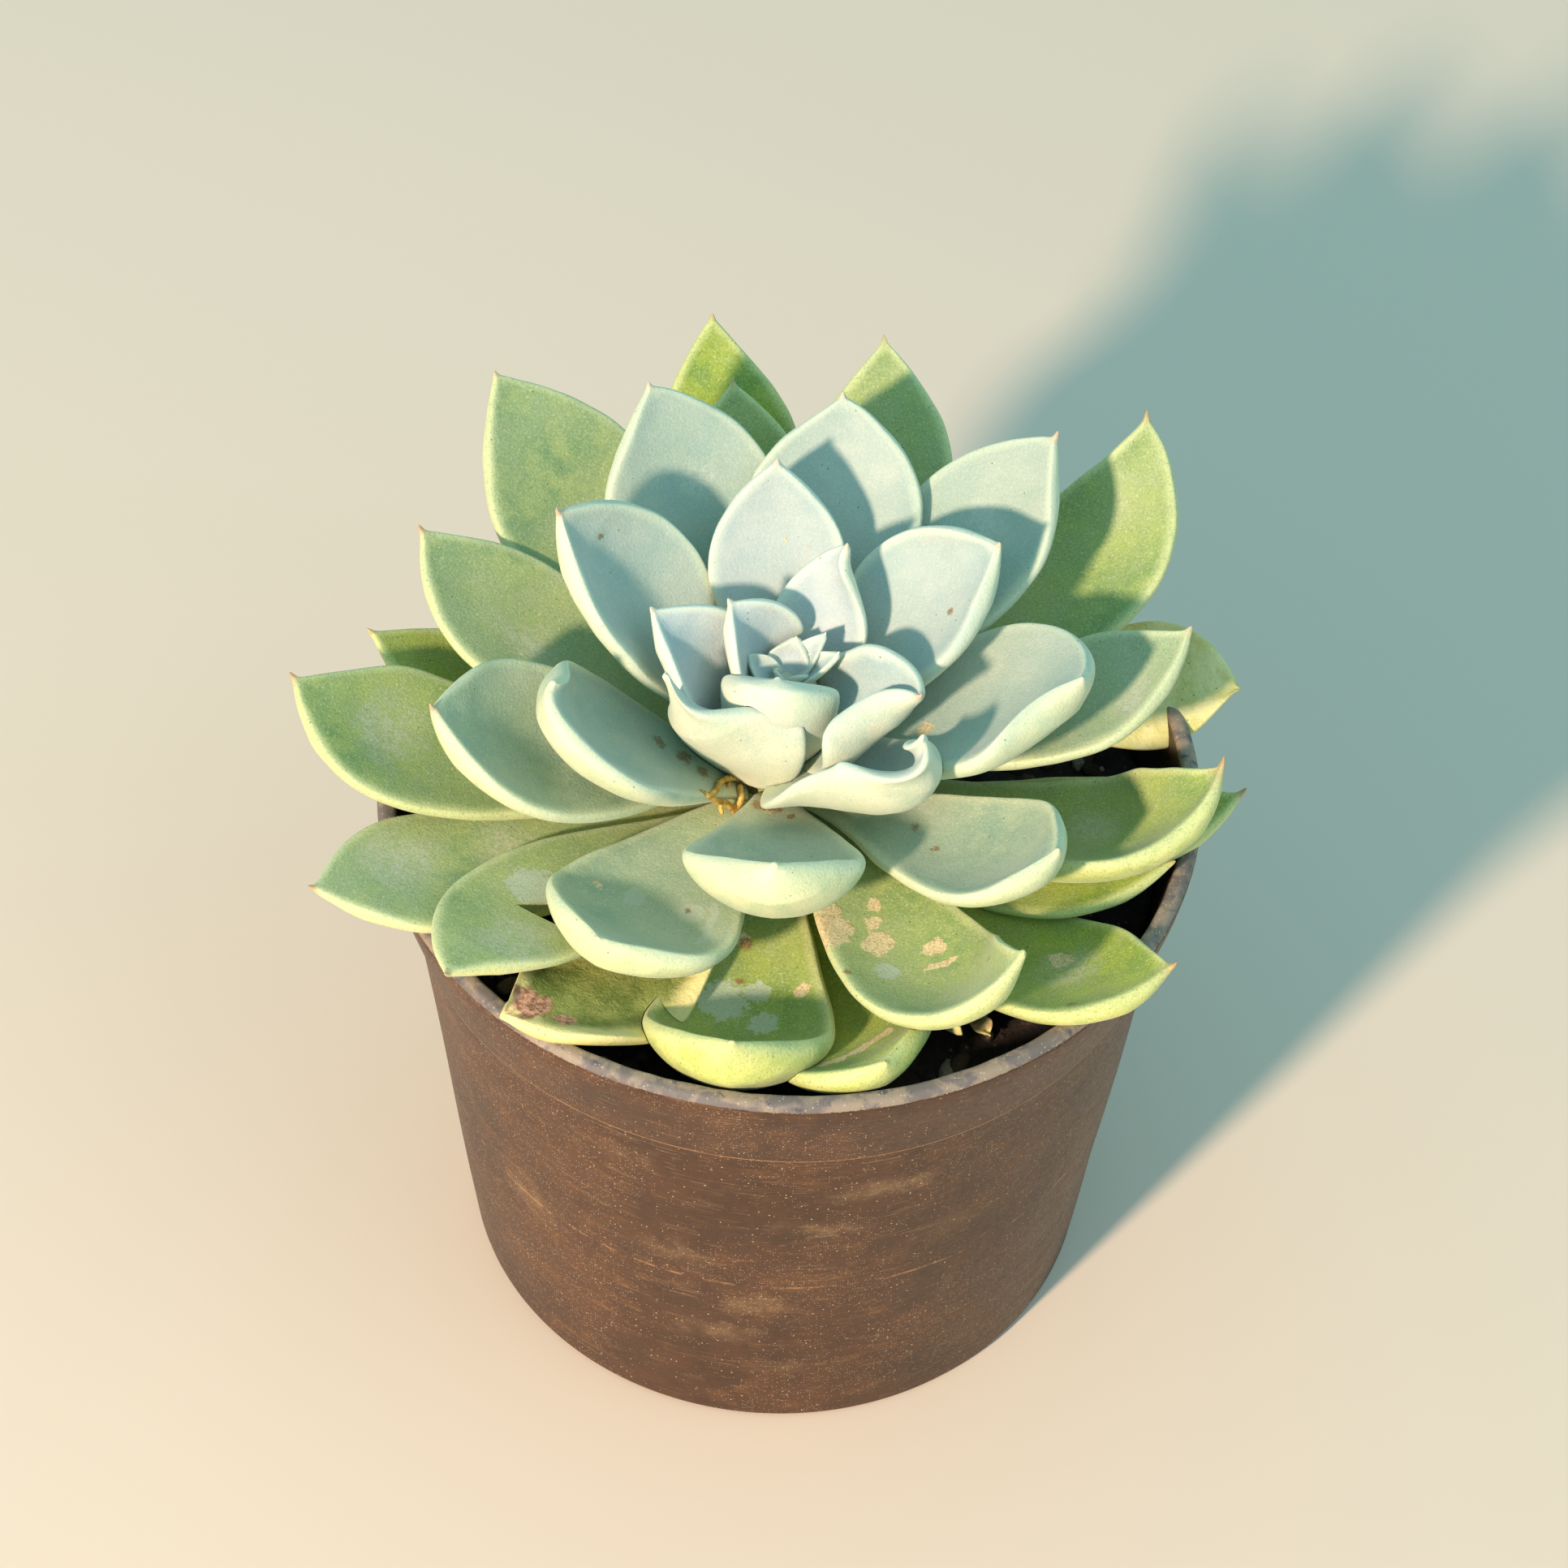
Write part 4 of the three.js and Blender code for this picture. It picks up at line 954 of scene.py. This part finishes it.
# Aerial roots at the foot of the front leaves, each with its radius and the points that it passes
ROOTS = [
    (0.42, [(-6.4, -4.6, 86.3), (-7.5, -5.2, 87.6), (-8.6, -6.6, 88.7), (-9.2, -8.9, 89.8), (-10.0, -10.8, 90.7),
            (-11.4, -11.0, 92.0)]),
    (0.4, [(-9.9, -10.8, 90.5), (-9.0, -10.0, 88.8), (-8.2, -8.6, 86.9), (-7.3, -8.1, 85.5), (-6.5, -7.6, 84.9)]),
    (0.42, [(-6.6, -4.4, 86.2), (-6.3, -6.0, 86.2), (-6.2, -6.8, 85.5), (-6.7, -7.9, 85.0), (-7.2, -9.0, 85.3)]),
    (0.3, [(-7.6, -5.6, 87.5), (-8.2, -7.2, 87.3), (-8.6, -8.8, 86.5), (-8.4, -9.6, 85.6)]),
]


def tube(path, radius, seed, sides=14, steps=9):
    """Points and faces of a tube along a smooth curve through the points, thin at both ends."""
    knots = [np.array(p, float) for p in path]
    knots = [2 * knots[0] - knots[1]] + knots + [2 * knots[-1] - knots[-2]]
    line = []
    for a, b, c, d in zip(knots, knots[1:], knots[2:], knots[3:]):
        for t in np.linspace(0, 1, steps, endpoint=False):
            line.append(0.5 * (2 * b + (c - a) * t + (2 * a - 5 * b + 4 * c - d) * t * t
                               + (3 * b - a - 3 * c + d) * t ** 3))
    line = np.array(line + [knots[-2]])
    line = line + wobble(line, 0.6, seed, 0.15)
    rings, side = [line[:1]], np.array([0.0, 0.0, 1.0])
    share = np.linspace(0, 1, len(line))
    angles = round_circle(sides)
    for i in range(1, len(line) - 1):
        along = normal_of(line[i + 1] - line[i - 1])
        side = normal_of(side - along * side.dot(along))
        other = np.cross(along, side)
        reach = radius * min(1.0, 6 * min(share[i], 1 - share[i])) ** 0.5
        ring = line[i] + reach * (np.outer(np.cos(angles), side) + np.outer(np.sin(angles), other))
        rings.append(ring + wobble(ring, 1.4, seed + 5, 0.12 * radius))
    return np.concatenate(rings + [line[-1:]]), ring_faces(len(line) - 2, sides)


AMBER = root_material()
for number, (radius, path) in enumerate(ROOTS):
    root = make_piece(f"aerial_root_{number + 1}", *tube(path, radius, 300 + number))
    dress(root, AMBER)
    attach(root, "root")

# A dry scrap of leaf that lies on the soil under the front leaves
scrap_row = row("scrap", 0, 80, (0, 10, 80.5), 3.4, -0.6, 70, base=2, wave=0.5)
grid, faces, values = blade(scrap_row, 77, 40, 18)
turn = math.radians(-38)
spin = np.array([[math.cos(turn), math.sin(turn), 0], [-math.sin(turn), math.cos(turn), 0], [0, 0, 1]])
grid = (grid - grid.mean(axis=0)) @ spin + (24.2, -30.0, 71.9)
along = values["along"]
values.update(rust=0.3 * along, pallor=0.5 * along, along=0.4 * along)
scrap = make_piece("leaf_scrap", grid, faces, values)
dress(scrap, WITHERED)
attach(scrap, "root")

# Floor, light and camera
floor = make_piece("floor", np.array([(-4, -4, 0), (4, -4, 0), (4, 4, 0), (-4, 4, 0)]) / MM, [(0, 1, 2, 3)],
                   smooth_shade=False)
ground = Surface("pale_floor")
ground.colour = rgb(220, 198, 174)
dress(floor, ground.finished(Roughness=0.9))


def light(name, azimuth, elevation, distance, size, power, colour):
    a, e = math.radians(azimuth), math.radians(elevation)
    data = bpy.data.lights.new(name, "AREA")
    data.shape, data.size, data.energy, data.color = "DISK", size, power, colour
    lamp = bpy.data.objects.new(name, data)
    aim = Vector((0, 0, 0.07))
    lamp.location = aim + Vector((math.cos(e) * math.cos(a), math.cos(e) * math.sin(a), math.sin(e))) * distance
    lamp.rotation_euler = (aim - lamp.location).to_track_quat("-Z", "Y").to_euler()
    bpy.context.scene.collection.objects.link(lamp)


light("key", 236, 29, 1.5, 0.12, 36, (1.0, 0.79, 0.64))
light("fill", 330, 50, 1.6, 1.2, 4, (0.86, 0.95, 1.0))
world = bpy.data.worlds.new("studio")
bpy.context.scene.world = world
world.use_nodes = True
backdrop = world.node_tree.nodes["Background"]
backdrop.inputs[0].default_value = (0.36, 0.8, 1.0, 1)
backdrop.inputs[1].default_value = 0.78

FOCAL_PX, IMAGE_PX = 6800, 1932
ELEVATION, DISTANCE, ROLL = math.radians(49.4), 0.694, math.radians(2.3)
AIM = Vector((-0.00092, 0, 0.0808))
backward = Vector((0, -math.cos(ELEVATION), math.sin(ELEVATION)))
level = Vector((1, 0, 0))
upward = backward.cross(level)
right = level * math.cos(ROLL) + upward * math.sin(ROLL)
above = upward * math.cos(ROLL) - level * math.sin(ROLL)
view = bpy.data.cameras.new("camera")
view.sensor_width = 36
view.lens = 36 * FOCAL_PX / IMAGE_PX
view.clip_start, view.clip_end = 0.01, 20
camera = bpy.data.objects.new("camera", view)
turned = Matrix((right, above, backward)).transposed().to_4x4()
camera.matrix_world = Matrix.Translation(AIM + backward * DISTANCE) @ turned
bpy.context.scene.collection.objects.link(camera)
bpy.context.scene.camera = camera
bpy.context.scene.view_settings.view_transform = "Standard"
